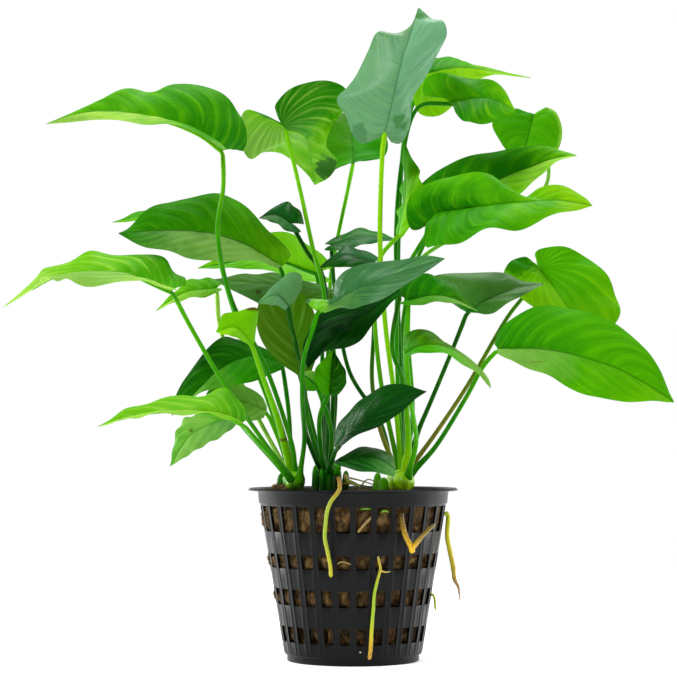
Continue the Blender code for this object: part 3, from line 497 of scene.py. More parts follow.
    "leaf_dark_glossy": dict(
        crown="right", foot=(-18, 26), tone="dark",
        stalk=((25, -28, 99), (23, -47, 124), (17.7, -55, 142)),
        spine=((21.5, -57, 167), (8.5, -60, 158), (-6, -62, 149), (-20.5, -62, 131.5)),
        left_depth=-6,
        left=((21.5, 164.5), (16, 160), (10, 152.5), (4, 144.5), (-3.5, 141), (-12.5, 139)),
        right_depth=6,
        right=((19, 168.5), (10, 164), (-1.5, 160.5), (-10.5, 159), (-17, 153.5), (-21.5, 146),
            (-22.5, 137.5)),
    ),
    "leaf_drooping_right": dict(
        crown="right", foot=(-24, 48), tone="fresh",
        stalk=((28.6, -38, 99), (26, -62, 117)),
        spine=((23.5, -70, 138.5), (32.5, -78, 142), (44, -83, 140.5), (53, -87, 133.5),
            (62.5, -88, 122.5)),
        left_depth=8,
        left=((22.5, 142), (25, 147.5), (29, 149.5), (36.5, 147), (45, 141.5), (53, 135.5),
            (61.5, 127)),
        right_depth=-9,
        right=((25, 137), (30.5, 138.5), (39.5, 138.5), (46.5, 135.5), (53, 131.5), (59, 126)),
    ),
    "leaf_right_mid": dict(
        crown="right", foot=(-8, 18), tone="fresh",
        stalk=((27, -21, 112), (25, -29, 144)),
        spine=((25, -31, 162.5), (41, -36, 164.5), (57, -39, 157.5)),
        left_reach=(-3, 8, 10),
        right_reach=(0, -6, -3.5),
        lobe=0.12, widest=0.34,
    ),
    "leaf_dark_front": dict(
        crown="centre", foot=(-28, 22), tone="dark",
        stalk=((-9.5, -39, 90),),
        spine=((-8, -65, 95.5), (-0.5, -72, 104.5), (12.5, -79, 113.5), (33.5, -88, 121)),
        left_depth=8,
        left=((-9, 97.5), (-6, 107), (2, 115.5), (11, 122), (21.5, 124.5)),
        right_depth=-8,
        right=((-6, 96), (2.5, 101.5), (12.5, 105.5), (21.5, 111.5), (29, 118)),
    ),
    "leaf_small_bottom": dict(
        crown="centre", foot=(-22, 58), tone="dark",
        stalk=((-6.5, -38, 86.5),),
        spine=((-8.5, -50, 88.8), (2, -58, 91.2), (12, -66, 90.5), (19.3, -71, 85.5)),
        left_depth=6,
        left=((-4, 92), (2.9, 95.8), (9.4, 95.6), (14, 94.2), (18.2, 91)),
        right_depth=-6,
        right=((-4, 86.8), (2.8, 85), (9.4, 84.6), (14, 83.6), (18.2, 82.8)),
    ),
    "leaf_small_dark": dict(
        crown="centre", foot=(0, 14), tone="dark",
        stalk=((-9, -4, 126), (-11, -5, 153), (-14, -5, 174), (-20.5, -5, 184), (-25.5, -5, 193)),
        spine=((-28, -5, 197.5), (-35.5, -10, 201.5), (-43, -16, 200)),
        left_reach=(0, -5, -5),
        right_reach=(4, 6, 7),
        lobe=0.3, widest=0.36,
    ),
    "leaf_centre_dark_upper": dict(
        crown="right", foot=(22, -30), tone="dark",
        stalk=((12, 42, 108), (-2, 49, 131), (-8, 55, 165)),
        spine=((-10, 57, 187.5), (5.5, 62, 191.5), (21.4, 68, 190)),
        left_reach=(0, 8, 5),
        right_reach=(0, -7, -5),
        lobe=0.1, widest=0.36,
    ),
    "leaf_centre_dark_lower": dict(
        crown="right", foot=(4, -36), tone="dark",
        stalk=((12, 8, 105), (8.6, 10, 126), (9.5, 10, 150)),
        spine=((10, 8, 180), (-3.6, 3, 182.5), (-16, -3, 177)),
        left_reach=(0, -6, -6),
        right_reach=(0, 7, 5),
        lobe=0.1, widest=0.36,
    ),
    "leaf_tall_wavy": dict(
        crown="right", foot=(-2, -22), tone="lime",
        stalk=((12.5, -8, 126), (9.5, -10, 162), (12, -5, 181)),
        spine=((20.5, 0, 192.5), (24, 0, 212.5), (23, 3, 236)),
        left_reach=(-1.5, 7, 0),
        right_reach=(8.5, -9, 0),
        lobe=0.05, widest=0.4,
    ),
    "leaf_young_folded": dict(
        crown="centre", foot=(-19, -4), tone="mid",
        stalk=((-15, -24, 98), (-15, -38, 110)),
        spine=((-10.5, -44, 120.5), (-10, -49, 130), (-9, -52, 140)),
        left_reach=(-7, -5, 1),
        right_reach=(7, -5, -1),
        lobe=0.1, widest=0.4,
    ),
    "leaf_pale_small": dict(
        crown="centre", foot=(-12, 26), tone="pale",
        stalk=((-10, -21, 104),),
        spine=((-16, -23, 123.5), (-20, -26, 127), (-24.5, -29, 129.5)),
        left_reach=(3, -4, 3.5),
        right_reach=(-3, 4, -3.5),
        lobe=0.1, widest=0.36,
    ),
}


# Greens of the leaves, from the darkest to the palest, the sap green of the youngest stems, the
# brown of damage and the tan of stalks
GREENS = {
    "night": "#021D04",
    "deep": "#063A06",
    "forest": "#0E5206",
    "leaf": "#1C7404",
    "grass": "#2E8703",
    "fresh": "#459C04",
    "lime": "#66B106",
    "bright_lime": "#84C40C",
    "sap": "#9CD60A",
    "pale_lime": "#9CCB4A",
    "pale": "#76A845",
    "grey_green": "#4F8440",
    "blue_green": "#5E9464",
    "sea": "#22602C",
    "olive": "#3C6C08",
    "dull_olive": "#42680C",
    "moss": "#4E8232",
    "brown": "#4C3A12",
    "tan": "#6E6A22",
    "mist": "#6CA67A",
}

# The look of each leaf. left and right are the greens of the two halves of the face that shows
# most, from base to tip, under the green of its other face and stalk the greens of the stalk from
# foot to top. These greens hold painted light and shade as well as each leaf's own colour: a half
# turned to the lamps is paler than a half turned away, a part in the shade of another leaf is
# darker, a bright lime is painted light that shines through a leaf from behind, greyish greens on
# the glossy leaves paint part of their sheen, and a stalk's darker foot is partly painted shade
# deep in the crown. vein is how strongly the side veins show, in the colour band, with painted
# shade in the folds between them in the colour fold; fine is the same for the fine lines and rib
# for the midrib's dark line, which is painted shade in its groove. gloss is the roughness, shine
# the strength and sheen the tint of the reflection. wave is the margin's ripple in millimetres
# with the number of ripples, and fan the number of veins that spread from the base of a heart.
# rim tints one margin, and each of the marks is a place in the table's coordinates, its reach,
# colour and strength. sheath is the radius of the stalk's thick foot and how far up it tapers,
# where they aren't the usual ones. scar is the share of the stalk where an old sheath's dry edge
# goes round it. beneath is for a leaf that is seen from under it, and back is then the green of
# its hidden face.
PLAIN_LOOK = dict(stalk=("grass", "fresh"), vein=0.4, band="fresh", fold="forest", fine=0.22,
    rib=0.5, relief=0.3, gloss=0.42, shine=0.06, sheen="#A0E840", wave=(0.6, 3), marks=(),
    scar=None, beneath=False, back=("grass", "fresh"), fan=0)
WAXY = dict(gloss=0.36, shine=0.25, sheen="#D0F4D0")
# The look of the dark glossy leaves, with near-black painted shade in the folds between the veins
DARK_GLOSSY = dict(gloss=0.26, shine=0.1, sheen="#C8F0D0", vein=0.15, band="leaf", fold="night",
    fine=0.2, relief=0.3)
LOOKS = {
    "leaf_top_left": dict(left=("leaf", "fresh", "pale_lime", "pale"),
        right=("leaf", "grass", "fresh", "lime"), under="pale",
        stalk=("leaf", "grass", "leaf", "grass", "lime"), vein=0.6, band="lime", wave=(0.7, 3)),
    "leaf_left_big": dict(left=("pale", "pale", "moss", "leaf"),
        right=("lime", "fresh", "grass", "leaf"), under="pale", stalk=("leaf", "leaf"), vein=0.3,
        band="lime"),
    "leaf_left_behind": dict(left=("leaf", "lime"), right=("leaf", "fresh"), under="lime"),
    "leaf_left_lime_behind": dict(left=("lime", "lime"), right=("lime", "fresh"), under="lime",
        stalk=("deep", "leaf"), vein=0.2, band="bright_lime", fold="grass", beneath=True),
    "leaf_far_left": dict(left=("pale_lime", "pale", "pale_lime"),
        right=("fresh", "fresh", "lime", "pale_lime"), under="pale_lime",
        stalk=("leaf", "fresh"), vein=0.6, band="pale_lime", fold="grass", wave=(1.5, 4)),
    "leaf_small_lime": dict(left=("lime", "pale_lime"), right=("fresh", "lime"), under="lime",
        stalk=("pale", "pale_lime"), vein=0.5, band="pale_lime", fold="grass", wave=(0.8, 3)),
    "leaf_lime_brown_edge": dict(left=("lime", "bright_lime"), right=("lime", "lime"), under="lime",
        stalk=("bright_lime", "lime", "lime"), sheath=(2.8, 34.0), vein=0.15, band="bright_lime",
        fold="fresh", wave=(0.5, 2), scar=0.41,
        marks=(((-44.6, 159.0), (5.6, 1.8), "brown", 0.9),)),
    "leaf_grey_folded": dict(left=("blue_green", "grey_green"), right=("grey_green", "blue_green"),
        under="grey_green", stalk=("deep", "deep", "forest"), vein=0.12, band="blue_green",
        fine=0.12),
    "leaf_olive_behind": dict(left=("olive", "dull_olive", "olive"), right=("olive", "olive"),
        under="dull_olive", stalk=("forest", "leaf"), vein=0.3, band="pale", fine=0.15),
    "leaf_grey_green_under": dict(left=("olive", "grey_green"), right=("grey_green", "olive"),
        under="grey_green", stalk=("deep", "forest"), vein=0.25, band="pale", fold="olive",
        marks=(((-43.0, 166.4), (1.9, 1.6), "brown", 0.8),)),
    "leaf_dark_mid_left": dict(left=("leaf", "grass", "pale"), right=("leaf", "forest", "leaf"),
        under="pale", stalk=("forest", "leaf"), vein=0.35, band="fresh"),
    "leaf_lower_left_lime": dict(left=("lime", "pale_lime"), right=("grass", "lime", "lime"),
        under="pale_lime", stalk=("leaf", "grass", "fresh"), vein=0.5, band="pale_lime",
        fold="grass", wave=(0.8, 4)),
    "leaf_hanging_grey": dict(left=("grey_green", "pale"), right=("fresh", "pale", "grass"),
        under="grey_green", vein=0.45, band="pale", fold="leaf", fine=0.35, wave=(0.8, 5),
        marks=(((-73.4, 103.4), (1.0, 0.9), "brown", 0.7),)),
    "leaf_pale_lower_left": dict(left=("pale", "grass"), right=("pale", "pale", "grass"),
        under="pale", vein=0.4, band="pale_lime", fold="grass"),
    # The dark base of the right half is painted shadow cast by the glaucous leaf that stands over
    # it, and the lime of the face seen from beneath is painted light that shines through it from
    # behind.
    "leaf_top_heart": dict(left=("lime", "pale", "lime", "lime"),
        right=("leaf", "leaf", "grass", "lime", "lime"), under="lime",
        stalk=("deep", "forest", "grass", "lime", "lime"),
        vein=0.7, band="pale_lime", fold="grass", fine=0.3, rib=0.25, wave=(1.0, 3), beneath=True,
        back=("leaf", "leaf"), fan=13, marks=(((-12.0, 222.6), (6.0, 5.0), "forest", 0.9),)),
    "leaf_behind_top": dict(left=("grass", "olive"), right=("leaf", "grass"), under="olive",
        stalk=("deep", "forest", "fresh", "lime"), vein=0.25, band="fresh"),
    "leaf_top_glaucous": dict(left=("blue_green", "blue_green", "blue_green", "grey_green"),
        right=("blue_green", "mist", "mist", "mist"), under="fresh",
        stalk=("lime", "bright_lime"), vein=0.12, band="pale", fold="sea", fine=0.3, relief=0.5,
        wave=(1.0, 3), gloss=0.34, shine=0.3, sheen="#E4F8F0",
        marks=(((23.2, 243.0), (5.5, 4.5), "leaf", 0.6), ((3.0, 238.5), (4.4, 5.0), "sea", 0.5),
            ((30.0, 294.5), (5.5, 5.0), "leaf", 0.8))),
    "leaf_thin_top_right": dict(left=("leaf", "fresh", "bright_lime"),
        right=("lime", "bright_lime", "bright_lime"), under="bright_lime",
        stalk=("forest", "leaf", "grass"), vein=0.4, band="lime"),
    "leaf_right_top": dict(left=("fresh", "grass", "lime"), right=("leaf", "leaf", "fresh"),
        under="lime", stalk=("forest", "leaf"), vein=0.35, band="bright_lime", fold="grass",
        wave=(0.8, 3)),
    "leaf_right_upper_lime": dict(left=("fresh", "fresh"), right=("grass", "fresh"), under="lime",
        stalk=("fresh", "pale"), vein=0.2, band="lime", rim=(-1, "pale_lime", 0.5)),
    "leaf_right_mid_upper": dict(left=("leaf", "leaf", "grass", "lime"),
        right=("pale", "lime", "pale_lime"), under="lime", stalk=("leaf", "grass"), vein=0.45,
        band="lime", wave=(0.7, 3)),
    "leaf_right_big": dict(left=("forest", "leaf", "fresh", "lime", "bright_lime"),
        right=("grass", "grass", "fresh", "bright_lime"), under="lime", stalk=("grass", "leaf"),
        vein=0.3, band="lime", fine=0.3, wave=(1.2, 4)),
    "leaf_right_heart": dict(left=("fresh", "fresh", "lime"), right=("leaf", "lime", "bright_lime"),
        under="lime", stalk=("tan", "tan", "olive", "leaf"), vein=0.45, band="bright_lime",
        fold="grass", wave=(1.0, 4), fan=13, marks=(((75.5, 178.5), (8.0, 6.0), "leaf", 0.8),)),
    "leaf_right_glaucous": dict(WAXY, left=("leaf", "moss", "moss"),
        right=("leaf", "moss", "moss"), under="grass", stalk=("forest", "forest"), vein=0.2,
        band="grey_green", fold="deep"),
    "leaf_right_lower_big": dict(left=("leaf", "grass", "fresh", "fresh"),
        right=("pale", "fresh", "lime"), under="lime", stalk=("leaf", "leaf", "fresh"), vein=0.32,
        band="lime", wave=(0.9, 4), marks=(((83.6, 134.4), (4.0, 0.6), "brown", 0.35),)),
    "leaf_centre_front": dict(WAXY, shine=0.4, left=("fresh", "sea", "sea", "sea", "leaf"),
        right=("lime", "moss", "sea", "sea", "forest"), under="forest", sheath=(2.6, 10.0),
        marks=(((-16.4, 160.6), (6.0, 3.2), "lime", 0.9),),
        stalk=("fresh", "forest", "leaf", "grass"), vein=0.14, band="pale", fold="forest",
        fine=0.2),
    # Its near-black greens are partly painted shade, as it hangs in the shade below the centre
    # front leaf.
    "leaf_dark_glossy": dict(DARK_GLOSSY, left=("forest", "night"), right=("deep", "night"),
        under="deep", stalk=("sap", "sap", "lime", "leaf", "leaf", "forest"),
        sheath=(3.0, 28.0), shine=0.05),
    "leaf_drooping_right": dict(left=("grass", "olive", "pale"), right=("grass", "fresh", "pale"),
        under="pale", vein=0.3, band="lime"),
    "leaf_right_mid": dict(left=("forest", "leaf", "olive"), right=("grass", "pale"), under="pale",
        vein=0.45, band="fresh"),
    "leaf_dark_front": dict(DARK_GLOSSY, wave=(0.3, 3), left=("deep", "deep"),
        right=("night", "deep"), under="deep", stalk=("deep", "deep")),
    "leaf_small_bottom": dict(DARK_GLOSSY, wave=(0.15, 2),
        left=("night", "deep", "forest", "grey_green"), right=("deep", "forest", "grey_green"),
        under="forest", stalk=("grass", "leaf")),
    "leaf_small_dark": dict(DARK_GLOSSY, left=("sea", "grey_green"), right=("forest", "sea"),
        under="forest", stalk=("forest", "deep")),
    "leaf_centre_dark_upper": dict(DARK_GLOSSY, left=("forest", "leaf"), right=("forest", "sea"),
        under="forest", stalk=("forest", "forest")),
    "leaf_centre_dark_lower": dict(DARK_GLOSSY, left=("deep", "forest"), right=("sea", "deep"),
        under="forest", stalk=("lime", "tan", "forest", "forest")),
    "leaf_tall_wavy": dict(left=("fresh", "grass"), right=("lime", "lime", "grass"), under="fresh",
        stalk=("leaf", "lime"), vein=0.2, band="bright_lime", fold="grass", wave=(2.0, 4)),
    "leaf_young_folded": dict(left=("grass", "fresh"), right=("forest", "deep"), under="grass",
        stalk=("forest", "leaf"), vein=0.2, band="lime"),
    "leaf_pale_small": dict(left=("grass", "pale"), right=("grass", "fresh"), under="pale",
        stalk=("deep", "leaf"), vein=0.2, band="lime", beneath=True),
}

# Roots outside the wool: radius at the start and end, the routes, and the colours along them.
# The first route is the solid's; the others are branches with radii of their own. shares says
# which stretch of the colours a route takes, and full how far it keeps its first radius.
ROOTS = {
    "root_over_rim": dict(
        start=0.95, end=0.85,
        colours=("#6E4E16", "#A0701C", "#929A12", "#88A40A", "#8EA40A", "#A8A80E", "#BCAC14"),
        route=((-6.5, -36, 82.5), (-6, -43, 81.5), (-6, -48.6, 77.5), (-9.5, -48.8, 72.6),
            (-11.2, -47, 68), (-11.8, -45.5, 63), (-12.2, -44, 57), (-11, -42.5, 50.6),
            (-9.8, -41.8, 44.4), (-9.6, -41.2, 39.6)),
    ),
    "root_arching": dict(
        start=0.9, end=0.8, colours=("#7A5E1A", "#7E7E22", "#6E7E1E"),
        route=((-3.5, -35.5, 83.5), (-2.2, -39.5, 81.5), (3, -44, 79)),
        branches=(
            dict(start=0.4, end=0.25, route=((-1.5, -33, 82.5), (4, -37, 81.2), (10, -40, 79.2))),
            dict(start=0.35, end=0.2, route=((3.5, -30, 79.0), (6.5, -34, 81.8), (12, -38, 80.2))),
            dict(start=0.45, end=0.3, route=((-4.5, -30, 80.0), (1, -36, 79.8), (7, -42, 78.8))),
        ),
    ),
    "root_long_front": dict(
        start=0.5, end=0.95, colours=("#A8A468", "#C0A01C", "#A89A14", "#92AA0A", "#8CB008",
            "#96B208", "#B4B60E", "#C8A014", "#A8763A"),
        route=((10.9, -37.2, 48.2), (11.3, -39, 46), (11.8, -40.2, 43), (10.5, -39.6, 38),
            (9.2, -38.6, 32), (8.8, -37.4, 26), (8.3, -36.2, 20), (7.9, -35, 14), (7.6, -34.2, 8),
            (7, -34, 3.4)),
        branches=(dict(start=0.5, end=0.15, shares=(0.1, 0.0),
            route=((11.8, -40.4, 42.6), (14, -41, 41.9), (16.4, -41.2, 42.2))),),
    ),
    "root_orange_fork": dict(
        start=1.0, end=1.3, shares=(0.0, 0.5),
        colours=("#4A3C1C", "#B48C10", "#F0B806", "#A08428", "#6A5C30"),
        route=((21, -35.3, 66.5), (21.6, -36.8, 62), (22.8, -38, 57.5), (25, -38, 53),
            (26, -36.6, 50)),
        branches=(dict(start=1.1, end=0.9, shares=(0.6, 1.0),
            route=((26, -37.6, 52.4), (28.6, -38.4, 55.6), (32, -37, 59.4), (36, -33.6, 62.4))),),
    ),
    "root_right_side": dict(
        start=1.05, end=0.25, full=0.7,
        colours=("#A8C014", "#C4C60E", "#CCC212", "#BAA222", "#94703A", "#BCA484"),
        route=((41.4, -3.2, 66.4), (42.8, -3, 64.4), (42.4, -3, 56), (43.6, -3, 49), (45, -3, 42),
            (45.6, -3, 36.6), (47.4, -3, 32.6), (48.2, -3, 26)),
    ),
    "root_small_side": dict(
        start=0.7, end=0.5, colours=("#8CB01E", "#A6B82A", "#B0B43A"),
        route=((34.4, -5, 30.2), (36.4, -5, 28.6), (37, -5, 22.4)),
    ),
}
# Rootlets too thin for solids, which lie on the wool in the pot's windows
THIN_ROOTLETS = (
    dict(start=0.5, end=0.7, shares=(0.0, 0.3),
        route=((1.8, -38, 58.6), (3, -40.1, 60.2), (6, -39.9, 63.6), (8.6, -39.2, 65.8),
            (10.5, -37.4, 67))),
    dict(start=0.6, end=0.5, shares=(0.8, 1.0),
        route=((3, -38, 69), (5.5, -40.3, 69.4), (8.6, -38.5, 69))),
    dict(start=0.6, end=0.5, shares=(0.8, 1.0),
        route=((12, -37.2, 67.2), (13.4, -38.9, 68.4), (15.6, -36.6, 67.6))),
    dict(start=0.35, end=0.3, shares=(0.0, 0.2),
        route=((-8, -35.4, 44.2), (-5.2, -37.4, 46), (-1.5, -37.7, 45.2), (1, -36, 43.6))),
)
ROOTLET_COLOURS = ("#9A8450", "#8A6E30", "#7C8A28", "#64A020")


# Shapes shared with the solids


def seen(place):
    """Where a place of the tables is: on the eye's line, at its depth."""
    x, y, z = place
    scale = 1 + y / EYE_DISTANCE
    return np.array((x * scale, y, EYE_HEIGHT + (z - EYE_HEIGHT) * scale))


def smooth(points, share):
    """The place at a share, 0 to 1, of a smooth line through the points."""
    p = [np.asarray(q, float) for q in points]
    spans = len(p) - 1
    p = [2 * p[0] - p[1]] + p + [2 * p[-1] - p[-2]]
    if share < 0:
        return p[1] + (p[2] - p[0]) / 2 * share * spans
    i = min(int(share * spans), spans - 1)
    s = share * spans - i
    a, b, c, d = p[i:i + 4]
    bend = (2 * a - 5 * b + 4 * c - d) * s ** 2 + (3 * b - a - 3 * c + d) * s ** 3
    return 0.5 * (2 * b + (c - a) * s + bend)


def unit(vectors):
    """Vectors at length one, or nothing where one has no length."""
    length = np.linalg.norm(vectors, axis=-1, keepdims=True)
    return np.where(length > 1e-6, vectors / np.maximum(length, 1e-6), 0.0)


def route_length(route):
    """The length of the straight lines from place to place along a route."""
    return sum(np.linalg.norm(np.subtract(b, a)) for a, b in zip(route, route[1:]))


def plain_width(leaf, share):
    """A plain blade's half width at a share of its length, as a share of its reach."""
    power = math.log(0.5) / math.log(leaf["widest"])
    bow = max(0.0, math.sin(math.pi * share ** power)) ** 1.1
    shoulder = 0.3 * min(1.0, leaf["lobe"] * 5 + 0.4) * (1 - share) ** 8
    return min(1.0, bow + shoulder)


def edge_point(leaf, side, share, spine):
    """The place on one outer edge at a share of the way from base to tip."""
    if side in leaf:
        tip = (leaf["spine"][-1][0], leaf["spine"][-1][2])
        x, z = smooth(leaf[side] + (tip,), share)
        depth = smooth(leaf["spine"], share ** SPINE_PACE)[1]
        depth += leaf[side + "_depth"] * math.sin(math.pi * (0.15 + 0.85 * share))
        return seen((x, depth, z))
    along = share - leaf["lobe"] * (1 - share) ** 2.5
    return smooth(spine, along) + np.array(leaf[side + "_reach"], float) * plain_width(leaf, share)


def stem_foot(leaf):
    """Where a stalk starts on its creeping stem, and which way it sets off."""
    along, lean = leaf["foot"]
    stem = CREEPING_STEMS[leaf["crown"]]
    first, last = stem["path"][0][1], stem["path"][-1][1]
    axis = smooth(stem["path"], (along - first) / (last - first))
    way = np.array((math.sin(math.radians(lean)), 0.0, math.cos(math.radians(lean))))
    return axis + way * (stem["radius"] + FOOT_GAP), way


def body_radius(height):
    """The pot wall's outer radius at a height."""
    share = (height - FOOT_HEIGHT) / (POT_HEIGHT - FOOT_HEIGHT)
    return BODY_FOOT_RADIUS + (COLLAR_RADIUS - BODY_FOOT_RADIUS) * share


def rough(places, size, seed=0.0):
    """Soft noise, about -1 to 1, at each place, with bumps of about the size given."""
    flat = np.asarray(places, float).reshape(-1, 3) / size + seed
    values = [noise.noise(Vector(p)) for p in flat]
    return np.array(values).reshape(np.shape(places)[:-1])


def lumps(place, sizes, base=0.0):
    """The base and soft noise at a place, from lumps that each have a size across and a height."""
    return sum((height * noise.noise(place / size) for size, height in sizes), base)


# Meshes


def new_object(name, data):
    """An object at the origin, in the scene."""
    obj = bpy.data.objects.new(name, data)
    bpy.context.scene.collection.objects.link(obj)
    return obj


def mesh_object(name, points, faces, edges=(), materials_of_faces=None, attributes=None):
    """A smooth-shaded object from points in millimetres, with values that its points carry."""
    mesh = bpy.data.meshes.new(name)
    mesh.from_pydata((np.asarray(points, float) * MM).tolist(), edges, faces)
    if materials_of_faces is not None:
        mesh.polygons.foreach_set("material_index", materials_of_faces)
    for key, values in (attributes or {}).items():
        layer = mesh.attributes.new(key, "FLOAT", "POINT")
        layer.data.foreach_set("value", np.asarray(values, np.float32))
    mesh.shade_smooth()
    return new_object(name, mesh)


def ringed_solid(name, points, around, attributes):
    """A closed solid from rings of points, one ring after another, with flat ends."""
    faces = []
    for start in range(0, len(points) - around, around):
        for j in range(around):
            a, b = start + j, start + (j + 1) % around
            faces.append((a, a + around, b + around, b))
    faces.append(tuple(range(around)))
    faces.append(tuple(range(len(points) - around, len(points)))[::-1])
    obj = mesh_object(name, points, faces, attributes=attributes)
    shape = bmesh.new()
    shape.from_mesh(obj.data)
    bmesh.ops.recalc_face_normals(shape, faces=shape.faces)
    shape.to_mesh(obj.data)
    shape.free()
    return obj


def join(first, other):
    """Joins the other object into the first."""
    both = [first, other]
    with bpy.context.temp_override(active_object=first, selected_editable_objects=both):
        bpy.ops.object.join()


def settle(obj, slot, *nodes):
    """Puts a finished piece on the one body, in the place of its solids."""
    obj.data.set_sharp_from_angle(angle=math.radians(SHARP_TURN))
    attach(obj, "root")
    if nodes:
        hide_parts(*nodes)


def bake(obj):
    """Turns an object's modifiers into its plain mesh."""
    bpy.context.view_layer.update()
    solid = obj.evaluated_get(bpy.context.evaluated_depsgraph_get())
    mesh = bpy.data.meshes.new_from_object(solid)
    obj.modifiers.clear()
    mesh.name = obj.name
    obj.data = mesh
    return obj


def feed(tree, made, values):
    """Gives a node its inputs, each a number, a colour, another node or one of its outputs."""
    for key, value in values.items():
        if isinstance(value, bpy.types.Node):
            value = next(output for output in value.outputs if output.enabled)
        if isinstance(value, bpy.types.NodeSocket):
            tree.links.new(value, made.inputs[key])
        else:
            made.inputs[key].default_value = value


def node(tree, kind, values=None, colours=(), **settings):
    """Adds a node with its inputs and settings. colours are a ramp's evenly spaced stops."""
    made = tree.nodes.new(kind)
    for key, value in settings.items():
        setattr(made, key, value)
    feed(tree, made, values or {})
    for _ in colours[2:]:
        made.color_ramp.elements.new(0.5)
    for i, colour in enumerate(colours):
        made.color_ramp.elements[i].position = i / (len(colours) - 1)
        made.color_ramp.elements[i].color = linear(colour)
    return made


def new_tree(name, inputs):
    """An empty Geometry Nodes tree with its named inputs, and the node that gives them."""
    tree = bpy.data.node_groups.new(name, "GeometryNodeTree")
    tree.interface.new_socket("Geometry", in_out="INPUT", socket_type="NodeSocketGeometry")
    for key, kind in inputs.items():
        tree.interface.new_socket(key, in_out="INPUT", socket_type="NodeSocket" + kind)
    tree.interface.new_socket("Geometry", in_out="OUTPUT", socket_type="NodeSocketGeometry")
    return tree, tree.nodes.new("NodeGroupInput")


def end_tree(tree, given, shape):
    """The end of each tree: real geometry with the surface that the tree was given."""
    real = node(tree, "GeometryNodeRealizeInstances", {"Geometry": shape})
    painted = node(tree, "GeometryNodeSetMaterial",
        {"Geometry": real, "Material": given.outputs["Surface"]})
    node(tree, "NodeGroupOutput", {"Geometry": painted})
    return tree


def grow(obj, tree, values):
    """Runs a Geometry Nodes tree on an object and keeps the result as its plain mesh."""
    modifier = obj.modifiers.new(tree.name, "NODES")
    modifier.node_group = tree
    for item in tree.interface.items_tree:
        if item.in_out == "INPUT" and item.name in values:
            modifier[item.identifier] = values[item.name]
    return bake(obj)


def tube_tree():
    """Round tubes along the edges of a mesh, as thick as its "radius" says."""
    tree, given = new_tree("tube_along_path", {"Sides": "Int", "Surface": "Material"})
    width = node(tree, "GeometryNodeInputNamedAttribute", {"Name": "radius"}, data_type="FLOAT")
    line = node(tree, "GeometryNodeMeshToCurve", {"Mesh": given.outputs["Geometry"]})
    circle = node(tree, "GeometryNodeCurvePrimitiveCircle",
        {"Resolution": given.outputs["Sides"], "Radius": 1.0})
    tube = node(tree, "GeometryNodeCurveToMesh",
        {"Curve": line, "Profile Curve": circle, "Scale": width, "Fill Caps": True})
    soft = node(tree, "GeometryNodeSetShadeSmooth", {"Geometry": tube})
    return end_tree(tree, given, soft)


def tubes(name, routes, material, sides):
    """Closed tubes along routes. Each route is a list of (place, radius, share along)."""
    edges = []
    start = 0
    for route in routes:
        edges += [(i, i + 1) for i in range(start, start + len(route) - 1)]
        start += len(route)
    places, radii, along = zip(*(spot for route in routes for spot in route))
    obj = mesh_object(name, places, [], edges,
        attributes={"radius": [radius * MM for radius in radii], "along": along})
    return grow(obj, TUBE_TREE, {"Sides": sides, "Surface": material})


# Materials


def linear(text):
    """A hex sRGB colour as linear light, with full alpha."""
    levels = [int(text[i:i + 2], 16) / 255 for i in (1, 3, 5)]
    light = [v / 12.92 if v <= 0.04045 else ((v + 0.055) / 1.055) ** 2.4 for v in levels]
    return (*light, 1.0)


def new_material(name, roughness, shine=0.5, sheen="#FFFFFF", ior=1.45):
    """A material, its tree and its Principled shader. sheen tints the reflection."""
    material = bpy.data.materials.new(name)
    material.use_nodes = True
    tree = material.node_tree
    shader = tree.nodes["Principled BSDF"]
    feed(tree, shader, {"Roughness": roughness, "IOR": ior, "Specular IOR Level": shine,
        "Specular Tint": linear(sheen)})
    return material, tree, shader


def fade(tree, value, low, high, start=0.0, end=1.0, strengths=()):
    """How strongly something shows: from start to end, softly, as a value goes from low to high,
    and then times each of the strengths."""
    shown = node(tree, "ShaderNodeMapRange", {0: value, 1: low, 2: high, 3: start, 4: end},
        interpolation_type="SMOOTHSTEP")
    for strength in strengths:
        shown = node(tree, "ShaderNodeMath", {0: shown, 1: strength}, operation="MULTIPLY")
    return shown


def tint(tree, colour, green, *shown, strengths=()):
    """Lays a green over a colour, as strongly as fade says."""
    factor = fade(tree, *shown, strengths=strengths)
    return node(tree, "ShaderNodeMix", {0: factor, 6: colour, 7: linear(GREENS[green])},
        data_type="RGBA")


def finish(tree, shader, colour, height, strength, depth):
    """Gives a shader its colour and a fine relief that is depth millimetres deep."""
    bump = node(tree, "ShaderNodeBump",
        {"Strength": strength, "Distance": depth * MM, "Height": height})
    feed(tree, shader, {"Base Color": colour, "Normal": bump})


